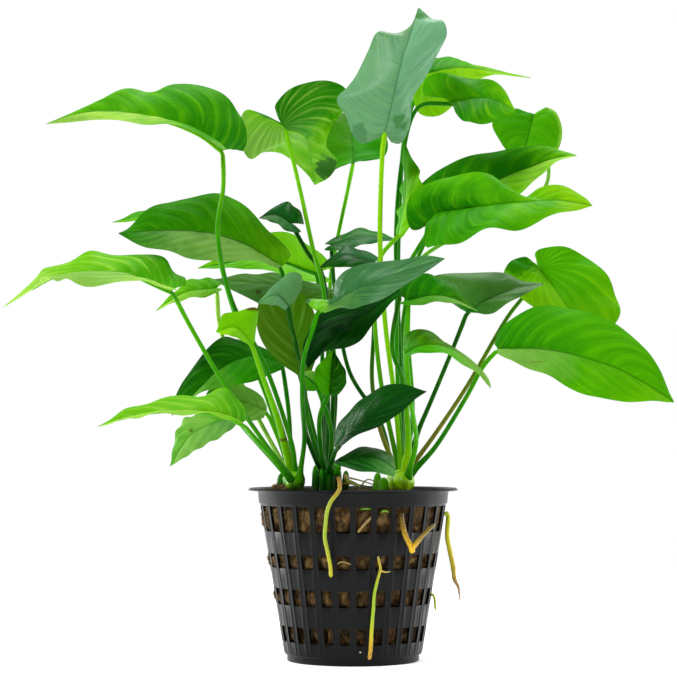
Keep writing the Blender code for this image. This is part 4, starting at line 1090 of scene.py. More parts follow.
def leaf_fields(tree):
    """What a blade's material reads: its place and where on the blade each spot is."""
    fields = {"place": node(tree, "ShaderNodeTexCoord").outputs["Object"]}
    for key in ("along", "side", "vein_phase", "from_midrib"):
        fields[key] = node(tree, "ShaderNodeAttribute", attribute_name=key).outputs["Fac"]
    fields["out"] = node(tree, "ShaderNodeMath", {0: fields["side"]}, operation="ABSOLUTE")
    # Clouding a few millimetres across and patches of two centimetres
    for key, lumps in (("cloud", 0.18), ("patch", 0.055)):
        fields[key] = node(tree, "ShaderNodeTexNoise",
            {"Vector": fields["place"], "Scale": lumps / MM, "Detail": 3.0, "Roughness": 0.6})
    # Lines that run with the side veins, drawn near a millimetre apart, as real ones are too fine
    across = node(tree, "ShaderNodeMath", {0: fields["vein_phase"], 1: 7.0}, operation="MULTIPLY")
    down = node(tree, "ShaderNodeMath", {0: fields["side"], 1: 1.6}, operation="MULTIPLY")
    lines = node(tree, "ShaderNodeCombineXYZ", {"X": across, "Y": down, "Z": fields["along"]})
    fields["lines"] = node(tree, "ShaderNodeTexNoise",
        {"Vector": lines, "Scale": 1.0, "Detail": 3.0, "Roughness": 0.55})
    # They fade where a half of the blade is only a few millimetres wide
    far = node(tree, "ShaderNodeMath", {0: fields["from_midrib"], 1: 0.2}, operation="ADD")
    part = node(tree, "ShaderNodeMath", {0: fields["out"], 1: 0.02}, operation="ADD")
    wide = node(tree, "ShaderNodeMath", {0: far, 1: part}, operation="DIVIDE")
    fields["away"] = fade(tree, wide, 2.0, 5.0)
    turn = node(tree, "ShaderNodeMath", {0: fields["vein_phase"], 1: 2 * math.pi},
        operation="MULTIPLY")
    fields["wave"] = node(tree, "ShaderNodeMath", {0: turn}, operation="COSINE")
    return fields


def mark_distance(tree, fields, centre, reach):
    """How far a spot is from a mark's centre, whatever the depth, made ragged by the clouding."""
    scale = [1 / (reach[0] * MM), 0.0, 1 / (reach[1] * MM)]
    moved = node(tree, "ShaderNodeMapping", {"Vector": fields["place"], "Scale": scale,
        "Location": [-centre[0] * MM * scale[0], 0.0, -centre[2] * MM * scale[2]]})
    far = node(tree, "ShaderNodeVectorMath", {0: moved}, operation="LENGTH")
    return node(tree, "ShaderNodeMath", {0: fields["cloud"], 1: 1.8, 2: far},
        operation="MULTIPLY_ADD")


def blade_material(name, look, marks=()):
    """Anubias leaf skin: waxy, finely veined, with painted shade in the folds between the side
    veins.

    The eye sees a soft green sheen over a colour that changes from base to tip and from half to
    half, partly painted light and shade, a thin dark midrib that is painted shade in its groove,
    brighter bands along the side veins that come and go, and fine lines beside them.
    """
    material, tree, shader = new_material(name, look["gloss"], look["shine"], look["sheen"])
    fields = leaf_fields(tree)
    band, fold = look["band"], look["fold"]
    shift = fade(tree, fields["patch"], 0.3, 0.7, -0.14, 0.14)
    moved = node(tree, "ShaderNodeMath", {0: fields["along"], 1: shift}, operation="ADD")
    # The two halves' greens differ partly by painted light and shade, one half lit, the other
    # shaded
    left, right = [node(tree, "ShaderNodeValToRGB", {0: moved}, [GREENS[g] for g in look[half]])
        for half in ("left", "right")]
    which = fade(tree, fields["side"], -0.05, 0.05)
    colour = node(tree, "ShaderNodeMix", {0: which, 6: left, 7: right}, data_type="RGBA")
    # Side veins: a brighter band on each, and painted shade in the fold between
    margin = fade(tree, fields["out"], 0.7, 1.0, 1.0, 0.25)
    room = fade(tree, fields["patch"], 0.32, 0.62, 0.35, 1.0,
        strengths=(margin, fields["away"], look["vein"]))
    broken = fade(tree, fields["lines"], 0.35, 0.6, 0.5, 1.0)
    colour = tint(tree, colour, band, fields["wave"], 0.45, 1.0, strengths=(room, broken, 0.85))
    colour = tint(tree, colour, fold, fields["wave"], 0.4, -1.0, strengths=(room, 0.4))
    fine = node(tree, "ShaderNodeMath", {0: fields["away"], 1: look["fine"]}, operation="MULTIPLY")
    colour = tint(tree, colour, band, fields["lines"], 0.5, 0.72, strengths=(fine,))
    colour = tint(tree, colour, fold, fields["lines"], 0.48, 0.3, strengths=(fine,))
    # The midrib: a dark line, painted shade in its groove
    colour = tint(tree, colour, fold, fields["from_midrib"], 0.1, 0.8, look["rib"], 0.0)
    if "rim" in look:
        sign, green, strength = look["rim"]
        beside = node(tree, "ShaderNodeMath", {0: fields["side"], 1: sign}, operation="MULTIPLY")
        colour = tint(tree, colour, green, beside, 0.86, 0.97, 0.0, strength)
    for centre, reach, green, strength in marks:
        far = mark_distance(tree, fields, centre, reach)
        colour = tint(tree, colour, green, far, 1.55, 1.9, 1.0, 0.0, strengths=(strength,))
    grain = node(tree, "ShaderNodeTexNoise",
        {"Vector": fields["place"], "Scale": 0.9 / MM, "Detail": 2.0})
    ridges = node(tree, "ShaderNodeMath", {0: fields["lines"], 1: 1.6, 2: grain},
        operation="MULTIPLY_ADD")
    height = node(tree, "ShaderNodeMath", {0: ridges, 1: fields["away"]}, operation="MULTIPLY")
    finish(tree, shader, colour, height, look["relief"], 0.3)
    return material


def underside_material(green):
    """The matt underside of a leaf, a little paler along its raised veins."""
    material, tree, shader = new_material("leaf_underside_" + green, 0.55, 0.12, "#B8F060")
    fields = leaf_fields(tree)
    own, grass = linear(GREENS[green]), linear(GREENS["grass"])
    base = node(tree, "ShaderNodeMix", {0: 0.3, 6: own, 7: grass}, data_type="RGBA")
    colour = node(tree, "ShaderNodeMix", {0: fields["along"], 6: base, 7: own}, data_type="RGBA")
    away = (fields["away"],)
    colour = tint(tree, colour, "pale_lime", fields["wave"], 0.75, 1.0, 0.0, 0.14, strengths=away)
    colour = tint(tree, colour, "grass", fields["lines"], 0.45, 0.65, 0.0, 0.25, strengths=away)
    feed(tree, shader, {"Base Color": colour})
    return material


def stalk_material(*greens, scar=None):
    """Smooth green stalk skin: a soft gloss, a change of green on the way up, faint lines."""
    name = "_".join(("scarred_stalk_skin" if scar else "stalk_skin", *greens))
    material, tree, shader = new_material(name, 0.35, 0.1, "#B8F060")
    place = node(tree, "ShaderNodeTexCoord").outputs["Object"]
    along = node(tree, "ShaderNodeAttribute", attribute_name="along").outputs["Fac"]
    colour = node(tree, "ShaderNodeValToRGB", {0: along}, [GREENS[green] for green in greens])
    tall = node(tree, "ShaderNodeMapping", {"Vector": place, "Scale": (1.0, 1.0, 0.12)})
    streak = node(tree, "ShaderNodeTexNoise", {"Vector": tall, "Scale": 0.5 / MM, "Detail": 2.0})
    colour = tint(tree, colour, "forest", streak, 0.4, 0.65, 0.0, 0.1)
    colour = tint(tree, colour, "bright_lime", streak, 0.5, 0.3, 0.0, 0.08)
    if scar:
        # The dry edge of an old sheath goes round the stalk, ragged where the streaks are
        beside = node(tree, "ShaderNodeMath", {0: along, 1: scar}, operation="SUBTRACT")
        near = node(tree, "ShaderNodeMath", {0: beside}, operation="ABSOLUTE")
        ring = fade(tree, near, 0.003, 0.014, strengths=(-1.0,))
        dry = node(tree, "ShaderNodeMath", {0: ring, 1: streak}, operation="ADD")
        colour = tint(tree, colour, "brown", dry, -0.2, 0.4, 0.0, 0.8)
    finish(tree, shader, colour, streak, 0.1, 0.2)
    return material


def creeping_stem_material(side, greens):
    """Green creeping stem: smooth bright swellings between darker ringed leaf scars."""
    material, tree, shader = new_material(side + "_creeping_stem_skin", 0.32, 0.35)
    place = node(tree, "ShaderNodeTexCoord").outputs["Object"]
    spots = node(tree, "ShaderNodeTexNoise", {"Vector": place, "Scale": 0.2 / MM, "Detail": 4.0})
    spread = fade(tree, spots, 0.3, 0.7)
    colour = node(tree, "ShaderNodeValToRGB", {0: spread}, [GREENS[green] for green in greens])
    scar = node(tree, "ShaderNodeAttribute", attribute_name="scar").outputs["Fac"]
    shown = node(tree, "ShaderNodeMath", {0: scar, 1: 0.6}, operation="MULTIPLY")
    colour = node(tree, "ShaderNodeMix", {0: shown, 6: colour, 7: linear(GREENS["forest"])},
        data_type="RGBA")
    finish(tree, shader, colour, spots, 0.3, 0.4)
    return material


def root_material(name, colours):
    """Fleshy root skin: slightly rough and waxy, coloured from its start to its tip."""
    material, tree, shader = new_material(name + "_skin", 0.45)
    place = node(tree, "ShaderNodeTexCoord").outputs["Object"]
    along = node(tree, "ShaderNodeAttribute", attribute_name="along").outputs["Fac"]
    spots = node(tree, "ShaderNodeTexNoise", {"Vector": place, "Scale": 0.9 / MM, "Detail": 3.0})
    shift = node(tree, "ShaderNodeMapRange", {0: spots, 1: 0.3, 2: 0.7, 3: -0.1, 4: 0.1})
    moved = node(tree, "ShaderNodeMath", {0: along, 1: shift}, operation="ADD")
    colour = node(tree, "ShaderNodeValToRGB", {0: moved}, colours)
    finish(tree, shader, colour, spots, 0.5, 0.3)
    return material


def pot_material():
    """Injection-moulded black polypropylene: semi-matt, with faint flow streaks."""
    material, tree, shader = new_material("moulded_polypropylene", 0.36, 0.14, ior=1.49)
    place = node(tree, "ShaderNodeTexCoord").outputs["Object"]
    tall = node(tree, "ShaderNodeMapping", {"Vector": place, "Scale": (1.0, 1.0, 0.25)})
    streak = node(tree, "ShaderNodeTexNoise", {"Vector": tall, "Scale": 0.22 / MM, "Detail": 4.0})
    colour = node(tree, "ShaderNodeValToRGB", {0: streak}, ["#040505", "#08090A", "#0F1113"])
    grain = node(tree, "ShaderNodeTexNoise", {"Vector": place, "Scale": 1.6 / MM, "Detail": 2.0})
    finish(tree, shader, colour, grain, 0.15, 0.2)
    return material


def wool_material(name, colours):
    """Rock wool: matt brown mineral fibres in upright patches, from near-black painted shade of
    gaps to pale tan.
    """
    material, tree, shader = new_material(name, 0.95)
    place = node(tree, "ShaderNodeTexCoord").outputs["Object"]
    # Fibres hang down the side of the plug, so the pattern is stretched upright
    hung = node(tree, "ShaderNodeMapping", {"Vector": place, "Scale": (1.0, 1.0, 0.55)})
    fibres = node(tree, "ShaderNodeTexNoise",
        {"Vector": hung, "Scale": 0.33 / MM, "Detail": 4.0, "Roughness": 0.6, "Distortion": 1.0})
    spread = fade(tree, fibres, 0.2, 0.8)
    colour = node(tree, "ShaderNodeValToRGB", {0: spread}, colours)
    finish(tree, shader, colour, fibres, 0.7, 0.8)
    return material


def grit_material():
    """A grain of pale quartz grit, matt and nearly white."""
    material, tree, shader = new_material("white_grit", 0.6)
    feed(tree, shader, {"Base Color": linear("#E8E8E2")})
    return material


def paper_material():
    """Matt white paper on a light table, so that shadows on it stay pale."""
    material, tree, shader = new_material("lit_white_paper", 0.95)
    feed(tree, shader, {"Base Color": linear("#FAFAFA"), "Emission Color": linear("#FFFFFF"),
        "Emission Strength": TABLE_LIGHT})
    return material


# Leaves


def blade_places(leaf, rows, halves):
    """Rows of places across the blade, from the left edge over the midrib to the right edge."""
    spine = [seen(p) for p in leaf["spine"]]
    out = np.arange(1, halves + 1) / halves
    grid = np.zeros((rows + 1, 2 * halves + 1, 3))
    for i in range(rows + 1):
        share = i / rows
        rib = share ** SPINE_PACE
        centre = smooth(spine, rib)
        run = unit(smooth(spine, min(1.0, rib + 0.03)) - smooth(spine, rib - 0.03))
        grid[i, halves] = centre
        for side, sign in (("left", -1), ("right", 1)):
            span = edge_point(leaf, side, share, spine) - centre
            up = np.cross(span, run) * sign
            crown = BLADE_CROWN * np.linalg.norm(up) * 4 * out * (1 - out)
            half = centre + span * out[:, None] + unit(up) * crown[:, None]
            if side == "left":
                grid[i, :halves] = half[::-1]
            else:
                grid[i, halves + 1:] = half
    return grid


def face_ways(grid):
    """Which way the top face looks at each place of a blade's grid."""
    ways = np.cross(np.gradient(grid, axis=1), np.gradient(grid, axis=0))
    ways[-1] = ways[-2]
    return unit(ways)


def fan_phase(grid, halves):
    """For veins that fan out from the base of a heart: the turn from the midrib, 0 to 1."""
    base = grid[0, halves]
    offset = grid - base
    run = unit(grid[3, halves] - base)
    ahead = offset @ run
    beside = np.linalg.norm(offset - ahead[:, :, None] * run, axis=2)
    reach = np.linalg.norm(offset, axis=2)
    return (np.arctan2(beside, ahead) + 0.5 * reach / reach.max()) / math.pi


def blade_lift(look, grid, share, side, from_midrib, fold, seed):
    """How far each place is lifted: by folds, the midrib's groove, the rippled margin and dents.

    fold is the height of the folds before they die away, and seed moves the ripples.
    """
    out = np.abs(side)
    wide = np.where(side < 0, from_midrib[:, :1], from_midrib[:, -1:])
    narrow = np.minimum(1, wide / NARROW_BLADE)
    room = out * (1 - out) * 4 * (1 - share ** 4) * narrow ** 2
    lift = fold * room * (0.6 + 0.6 * rough(grid, *FOLD_NOISE))
    lift -= GROOVE_DEPTH * np.exp(-(from_midrib / GROOVE_WIDTH) ** 2) * (1 - share)
    size, count = look["wave"]
    bend = np.where(side > 0, 0.9, 0.0) + 0.35 * rough(grid, RIPPLE_NOISE, seed)
    ripple = np.sin(2 * math.pi * (count * share + bend))
    lift += size * out ** 2.2 * ripple * narrow * (0.25 + 0.75 * np.minimum(1, share * 4))
    return lift + DENTS * rough(grid, *DENT_NOISE) * np.minimum(1, 4 * (1 - share))


def blade_order(top, under):
    """Values of a blade's grid in the order of its points: top face, tip, inner underside."""
    middle = top.shape[1] // 2
    parts = (top[:-1], top[-1:, middle:middle + 1], under[1:-1, 1:-1])
    return np.concatenate([part.reshape(-1, *top.shape[2:]) for part in parts])


def closed_blade(name, top, under, fields):
    """A blade's mesh from its two faces, which share their margin and meet at the tip."""
    rows, width = top.shape[0] - 1, top.shape[1]
    tip = rows * width
    upper = np.arange(tip).reshape(rows, width)
    lower = upper.copy()
    inner = (rows - 1, width - 2)
    lower[1:, 1:-1] = tip + 1 + np.arange(inner[0] * inner[1]).reshape(inner)
    faces, indices = [], []
    for index, sheet in enumerate((upper.tolist(), lower.tolist())):
        layer = [(sheet[i][j], sheet[i][j + 1], sheet[i + 1][j + 1], sheet[i + 1][j])
            for i in range(rows - 1) for j in range(width - 1)]
        layer += [(sheet[-1][j], sheet[-1][j + 1], tip) for j in range(width - 1)]
        faces += [face[::-1] if index else face for face in layer]
        indices += [index] * len(layer)
    values = {key: blade_order(field, field) for key, field in fields.items()}
    return mesh_object(name, blade_order(top, under), faces, (), indices, values)


def blade(name, leaf, look):
    """A closed blade, the places along its midrib and the way that its top face looks there."""
    length = np.linalg.norm(seen(leaf["spine"][-1]) - seen(leaf["spine"][0]))
    rows, halves = LARGE_GRID if length > LARGE_BLADE else SMALL_GRID
    grid = blade_places(leaf, rows, halves)
    ways = face_ways(grid)
    share = np.linspace(0, 1, rows + 1)[:, None]
    side = (np.arange(-halves, halves + 1) / halves)[None, :]
    out = np.abs(side)
    from_midrib = np.linalg.norm(grid - grid[:, halves:halves + 1], axis=2)
    veins = max(FEWEST_VEINS, length / VEIN_SPACING)
    if look["fan"]:
        phase = fan_phase(grid, halves) * look["fan"] + 0.5 * (side > 0)
    else:
        phase = (share - VEIN_SWEEP * out - VEIN_SWEEP * out ** 2) * veins + 0.5 * (side > 0)
    phase = phase + VEIN_WANDER * rough(grid, *VEIN_NOISE)
    fold = FOLD_HEIGHT * (length / veins) * np.cos(2 * math.pi * phase)
    lift = blade_lift(look, grid, share, side, from_midrib, fold, len(name))
    middle = grid + ways * lift[:, :, None]
    middle[-1] = grid[-1]
    thick = BLADE_MARGIN + (BLADE_MIDDLE - BLADE_MARGIN) * (1 - out ** 2.5) * (1 - 0.6 * share)
    thick[-1] = 0.0
    half = ways * thick[:, :, None] / 2
    fields = {"along": share + 0 * side, "side": side + 0 * share, "vein_phase": phase,
        "from_midrib": from_midrib}
    obj = closed_blade(name, middle + half, middle - half, fields)
    return obj, middle[:, halves], ways[:, halves]


def stalk_route(leaf, rib, ways, sheath, sheath_length):
    """The stalk from inside its creeping stem to the blade and on under the midrib."""
    foot, way = stem_foot(leaf)
    start = foot - way * (FOOT_GAP + FOOT_DEPTH)
    onward = unit(seen(leaf["stalk"][0]) - start)
    route = [start, start + onward * STALK_SET_OFF]
    route += [seen(p) for p in leaf["stalk"]] + [seen(leaf["spine"][0])]
    length = route_length(route)
    steps = max(FEWEST_STALK_STEPS, int(length / STALK_STEP))
    top = leaf.get("stem", STALK_TOP_RADIUS)
    knee, knee_place, knee_length = KNEE
    made = []
    for i in range(steps):
        share = i / steps
        reach = share * length
        radius = STALK_FOOT_RADIUS + (top - STALK_FOOT_RADIUS) * share
        radius += (sheath - STALK_FOOT_RADIUS) * math.exp(-(reach / sheath_length) ** 1.6)
        radius += knee * math.exp(-((length - reach - knee_place) / knee_length) ** 2)
        made.append((smooth(route, share) - ways[1] * 0.8 * top * share ** 8, radius, share))
    last = int(RIB_LENGTH * (len(rib) - 1))
    for i in range(1, last + 1, 2):
        radius = RIB_TIP_RADIUS + (top - RIB_TIP_RADIUS) * (1 - i / last) ** 1.3
        made.append((rib[i] - ways[i] * (0.75 * radius + RIB_DROP), radius, 1.0))
    return made


def mark_places(leaf, look):
    """Each mark's real centre: the place of the blade that the eye sees there."""
    grid = blade_places(leaf, *MARK_GRID).reshape(-1, 3)
    scale = 1 + grid[:, 1] / EYE_DISTANCE
    x, z = grid[:, 0] / scale, EYE_HEIGHT + (grid[:, 2] - EYE_HEIGHT) / scale
    found = []
    for at, reach, green, strength in look["marks"]:
        nearest = grid[np.argmin((x - at[0]) ** 2 + (z - at[1]) ** 2)]
        found.append((seen((at[0], nearest[1], at[1])), reach, green, strength))
    return found


def make_leaf(name, leaf):
    """One leaf with its stalk, in the place of its solid."""
    look = {**PLAIN_LOOK, **LOOKS[name]}
    plain = name.replace("leaf_", "")
    obj, rib, ways = blade(plain + "_leaf", leaf, look)
    face = blade_material("waxy_leaf_" + plain, look, mark_places(leaf, look))
    if look["under"] not in UNDERSIDES:
        UNDERSIDES[look["under"]] = underside_material(look["under"])
    if look["beneath"]:
        back = {**PLAIN_LOOK, "left": look["back"], "right": look["back"]}
        skins = [blade_material("waxy_leaf_" + plain + "_top", back), face]
    else:
        skins = [face, UNDERSIDES[look["under"]]]
    for skin in skins:
        obj.data.materials.append(skin)
    greens = (*look["stalk"], look["scar"])
    if greens not in STALK_SKINS:
        STALK_SKINS[greens] = stalk_material(*look["stalk"], scar=look["scar"])
    route = stalk_route(leaf, rib, ways, *look.get("sheath", SHEATHS[leaf["crown"]]))
    join(obj, tubes(plain + "_leaf_stalk", [route], STALK_SKINS[greens], STALK_SIDES))
    settle(obj, LEAF_SLOTS[leaf["tone"]], name)


# Creeping stems and roots


def stump_route(x, y, top, radius):
    """An old leaf sheath that still stands on its creeping stem, torn to a point at its top."""
    foot = WOOL_CENTRE_TOP + 1.0
    lean = 0.12 * rough([(x, y, top)], 3.0)[0]
    return [((x + lean * s * (top - foot), y + STUMP_LEAN * s, foot + (top - foot) * s),
        radius * r, s) for s, r in STUMP_SHAPE]


def make_creeping_stem(side, stem):
    """One creeping stem: knobbly between its ringed leaf scars, with the stumps of old sheaths."""
    points, scars = [], []
    for i in range(STEM_RINGS + 1):
        share = i / STEM_RINGS
        ring_place = share * STEM_JOINTS % 1.0
        scar = 0.8 * max(0.0, 1 - 6 * min(ring_place, 1 - ring_place))
        swell = 0.91 + 0.09 * math.sin(math.pi * ring_place) ** 0.6
        end = max(0.0, 1 - (abs(share - 0.5) * 2) ** 9) ** 0.5
        centre = smooth(stem["path"], share)
        for j in range(STEM_SIDES):
            angle = 2 * math.pi * j / STEM_SIDES
            way = np.array((math.cos(angle), 0.0, math.sin(angle)))
            place = Vector(centre + way * stem["radius"])
            lump = lumps(place, STEM_LUMPS, 1.0)
            points.append(centre + way * stem["radius"] * swell * end * lump)
            scars.append(scar)
    obj = ringed_solid(side + "_creeping_stem", points, STEM_SIDES, {"scar": scars})
    obj.data.materials.append(creeping_stem_material(side, stem["greens"]))
    stumps = [stump_route(*stump) for stump in stem["stumps"]]
    skin = stalk_material(*stem["stump_greens"])
    join(obj, tubes(side + "_sheath_stumps", stumps, skin, STUMP_SIDES))
    settle(obj, "creeping_stem", "creeping_stem_" + side)


def root_route(root):
    """Places, radii and shares of the colours along a root or a branch, round at its free end."""
    first_share, last_share = root.get("shares", (0.0, 1.0))
    full = root.get("full", 0.0)
    length = route_length(root["route"])
    steps = max(FEWEST_ROOT_STEPS, int(length / ROOT_STEP))
    made = []
    for i in range(steps + 1):
        share = i / steps
        place = smooth(root["route"], share)
        thin = max(0.0, (share - full) / (1 - full))
        radius = root["start"] + (root["end"] - root["start"]) * thin
        radius *= 1 + 0.10 * noise.noise(Vector(place / 2.2))
        left = (1 - share) * length
        if left < ROOT_END:
            radius *= math.sqrt(max(0.02, 1 - (1 - left / ROOT_END) ** 2))
        made.append((place, radius, first_share + (last_share - first_share) * share))
    return made


def make_root(name, root):
    """One root outside the wool with its branches."""
    routes = [root_route(part) for part in (root, *root.get("branches", ()))]
    skin = root_material(name, root["colours"])
    obj = tubes(name.replace("root_", "") + "_root", routes, skin, ROOT_SIDES)
    settle(obj, ROOT_SLOTS.get(name, "root_green"), name)


def make_thin_rootlets():
    """The rootlets that lie on the wool, in one piece."""
    skin = root_material("thin_rootlet", ROOTLET_COLOURS)
    routes = [root_route(part) for part in THIN_ROOTLETS]
    settle(tubes("thin_rootlets", routes, skin, ROOTLET_SIDES), "root_brown")


# Net pot


def pot_profile():
    """The outer profile of the pot as (radius, height, window share, rib height)."""
    underside = POT_HEIGHT - WALL
    first, last = WINDOW_ROWS[0][2], WINDOW_ROWS[-1][2]
    profile = [
        (10.0, 0.0, first, 0.0),
        (FOOT_RADIUS - 3.0, 0.0, first, 0.0),
        (FOOT_RADIUS - 0.5, 0.0, first, 0.0),
        (FOOT_RADIUS - 0.1, 0.3, first, 0.0),
        (FOOT_RADIUS, 0.8, first, 0.0),
        (FOOT_RADIUS + 0.1, FOOT_HEIGHT - 0.7, first, 0.0),
        (FOOT_RADIUS + 0.4, FOOT_HEIGHT - 0.4, first, 0.0),
        (body_radius(FOOT_HEIGHT) - 0.2, FOOT_HEIGHT - 0.3, first, 0.0),
        (body_radius(FOOT_HEIGHT), FOOT_HEIGHT, first, 0.0),
        (body_radius(FOOT_HEIGHT + 0.6), FOOT_HEIGHT + 0.6, first, 0.5),
        (body_radius(FOOT_HEIGHT + 1.0), FOOT_HEIGHT + 1.0, first, 1.0),
    ]
    for bottom, top, share in WINDOW_ROWS:
        for step in range(5):
            height = bottom + (top - bottom) * step / 4
            profile.append((body_radius(height), height, share, 1.0))
    collar = body_radius(COLLAR_FOOT)
    profile += [
        (collar + RIB_PROUD, COLLAR_FOOT - 0.2, last, 0.0),
        (collar + COLLAR_STEP, COLLAR_FOOT, last, 0.0),
        (collar + COLLAR_STEP + 0.1, COLLAR_FOOT + 0.4, last, 0.0),
        (body_radius(underside) + 0.15, underside - 1.2, last, 0.0),
        (body_radius(underside) + 0.45, underside - 0.35, last, 0.0),
        (body_radius(underside) + 1.2, underside - 0.05, last, 0.0),
        (RIM_RADIUS - 1.2, underside + 0.05, last, 0.0),
        (RIM_RADIUS - 0.25, underside + 0.2, last, 0.0),
        (RIM_RADIUS, underside + 0.6, last, 0.0),
    ]
    return profile


def pot_column():
    """One column of the pot's wall, a twenty-eighth of the way round, open at its windows."""
    profile = pot_profile()
    pitch = 2 * math.pi / WINDOW_COLUMNS
    rows, points, faces = [], [], []
    for radius, height, share, rib in profile:
        edge = share / 2
        low, high = edge + RIB_SLOPE, edge + RIB_SLOPE + RIB_WIDTH
        outer = [(high + RIB_SLOPE, 0.0), (high, 1.0), (low, 1.0), (edge, 0.0)]
        stops = [(-0.5, 0.0)] + [(-s, p) for s, p in outer] + [(-edge / 3, 0.0)]
        stops += [(-s, p) for s, p in reversed(stops)]
        rows.append(range(len(points), len(points) + len(stops)))
        for stop, proud in stops:
            reach = radius + RIB_PROUD * rib * proud
            angle = stop * pitch
            points.append((reach * math.cos(angle), reach * math.sin(angle), height))
    for i, (here, above) in enumerate(zip(rows, rows[1:])):
        middle_height = (profile[i][1] + profile[i + 1][1]) / 2
        open_row = any(low < middle_height < high for low, high, _ in WINDOW_ROWS)
        for j in range(len(here) - 1):
            # The window lies between the feet of the two ridges
            if not (open_row and 4 <= j <= 6):
                faces.append((here[j], here[j + 1], above[j + 1], above[j]))
    return mesh_object("pot_column", points, faces)


def round_tree():
    """Repeats one column of the pot round its axis."""
    tree, given = new_tree("columns_round_axis", {"Count": "Int", "Surface": "Material"})
    count = given.outputs["Count"]
    spots = node(tree, "GeometryNodePoints", {"Count": count})
    index = node(tree, "GeometryNodeInputIndex")
    half = node(tree, "ShaderNodeMath", {0: index, 1: 0.5}, operation="ADD")
    share = node(tree, "ShaderNodeMath", {0: half, 1: count}, operation="DIVIDE")
    turn = node(tree, "ShaderNodeMath", {0: share, 1: 2 * math.pi, 2: -math.pi / 2},
        operation="MULTIPLY_ADD")
    euler = node(tree, "ShaderNodeCombineXYZ", {"Z": turn})
    way = node(tree, "FunctionNodeEulerToRotation", {0: euler})
    copies = node(tree, "GeometryNodeInstanceOnPoints",
        {"Points": spots, "Instance": given.outputs["Geometry"], "Rotation": way})
    real = node(tree, "GeometryNodeRealizeInstances", {"Geometry": copies})
    whole = node(tree, "GeometryNodeMergeByDistance", {"Geometry": real, "Distance": 0.00001})
    return end_tree(tree, given, whole)


def close_floor(pot):
    """Fills the pot's round floor and turns the wall's faces outward."""
    shape = bmesh.new()
    shape.from_mesh(pot.data)
    edges = [e for e in shape.edges if e.is_boundary and all(abs(v.co.z) < 1e-5 for v in e.verts)]
    bmesh.ops.holes_fill(shape, edges=edges, sides=0)
    bmesh.ops.recalc_face_normals(shape, faces=shape.faces)
    lowest = min(shape.faces, key=lambda f: f.calc_center_median().z)
    if lowest.normal.z > 0:
        bmesh.ops.reverse_faces(shape, faces=shape.faces)
    shape.to_mesh(pot.data)
    shape.free()


def make_pot():
    """The net pot: columns repeated round the axis, a floor, and a wall thickened inward."""
    pot = grow(pot_column(), round_tree(), {"Count": WINDOW_COLUMNS, "Surface": pot_material()})
    pot.name = "moulded_net_pot"
    close_floor(pot)
    wall = pot.modifiers.new("wall", "SOLIDIFY")
    wall.thickness = WALL * MM
    wall.offset = -1.0
    wall.use_even_offset = True
    edge = pot.modifiers.new("soft_edges", "BEVEL")
    edge.width = SOFT_EDGE * MM
    edge.segments = 2
    edge.limit_method = "ANGLE"
    edge.angle_limit = math.radians(SOFT_EDGE_TURN)
    bake(pot)
    pot.data.shade_smooth()
    join(pot, make_grain())
    settle(pot, "net_pot", "net_pot")


def make_grain():
    """The white grain of grit that sticks to the front of the pot near its foot."""
    x, z, size = GRIT
    y = -math.sqrt(body_radius(z) ** 2 - x ** 2)
    turns = [math.pi * (i + 0.5) / GRIT_RINGS for i in range(GRIT_RINGS)]
    route = [((x - size * math.cos(a), y, z), size * math.sin(a), 0.0) for a in turns]
    return tubes("grit", [route], grit_material(), GRIT_SIDES)


# Rock wool


def window_room(angle, height):
    """How far inside a window a place of the wool's side is, 0 behind a bar to 1 in the middle."""
    pitch = 2 * math.pi / WINDOW_COLUMNS
    column = ((angle + math.pi / 2) / pitch) % 1.0 - 0.5
    for bottom, top, share in WINDOW_ROWS:
        if bottom < height < top:
            across = 1 - (abs(column) / (share / 2)) ** 2
            up = 1 - (abs(height - (bottom + top) / 2) / ((top - bottom) / 2)) ** 4
            return max(0.0, across) * max(0.0, up)
    return 0.0


def wool_top(place, radius):
    """A place on the wool's lumpy top, which falls off at the edge and has one loose clump."""
    lump = lumps(place, WOOL_TOP_LUMPS)
    edge = max(0.0, (radius - (WOOL_TOP_RADIUS - WOOL_EDGE_WIDTH)) / WOOL_EDGE_WIDTH)
    x, y, wide, deep, high = CLUMP
    clump = high * math.exp(-((place.x - x) / wide) ** 2 - ((place.y - y) / deep) ** 2)
    clump *= lumps(place, CLUMP_LUMPS, 1.0)
    return place.x, place.y, WOOL_CENTRE_TOP + lump + 0.6 - 1.2 * edge ** 2 + clump


def wool_side(place, radius, angle, height, room):
    """A place on the wool's cracked side, which swells into the windows."""
    lump = lumps(place, WOOL_SIDE_LUMPS)
    crack = max(0.0, noise.noise(place / 4.2 + Vector((7, 3, 1)))) ** 1.5
    # The wool swells out at the left and is fuller at the top than near the foot
    swell = 1 + 1.6 * max(0.0, -math.cos(angle)) ** 6
    empty = max(0.0, 1 - height / WOOL_FULL_HEIGHT)
    depth = CRACK_DEPTH + LOW_CRACK_DEPTH * empty
    reach = radius - 1.0 + 0.8 * lump - depth * crack - 1.5 * empty
    reach = min(reach + WINDOW_SWELL * room * swell, radius + MOST_SWELL * room * swell)
    return reach * math.cos(angle), reach * math.sin(angle), height


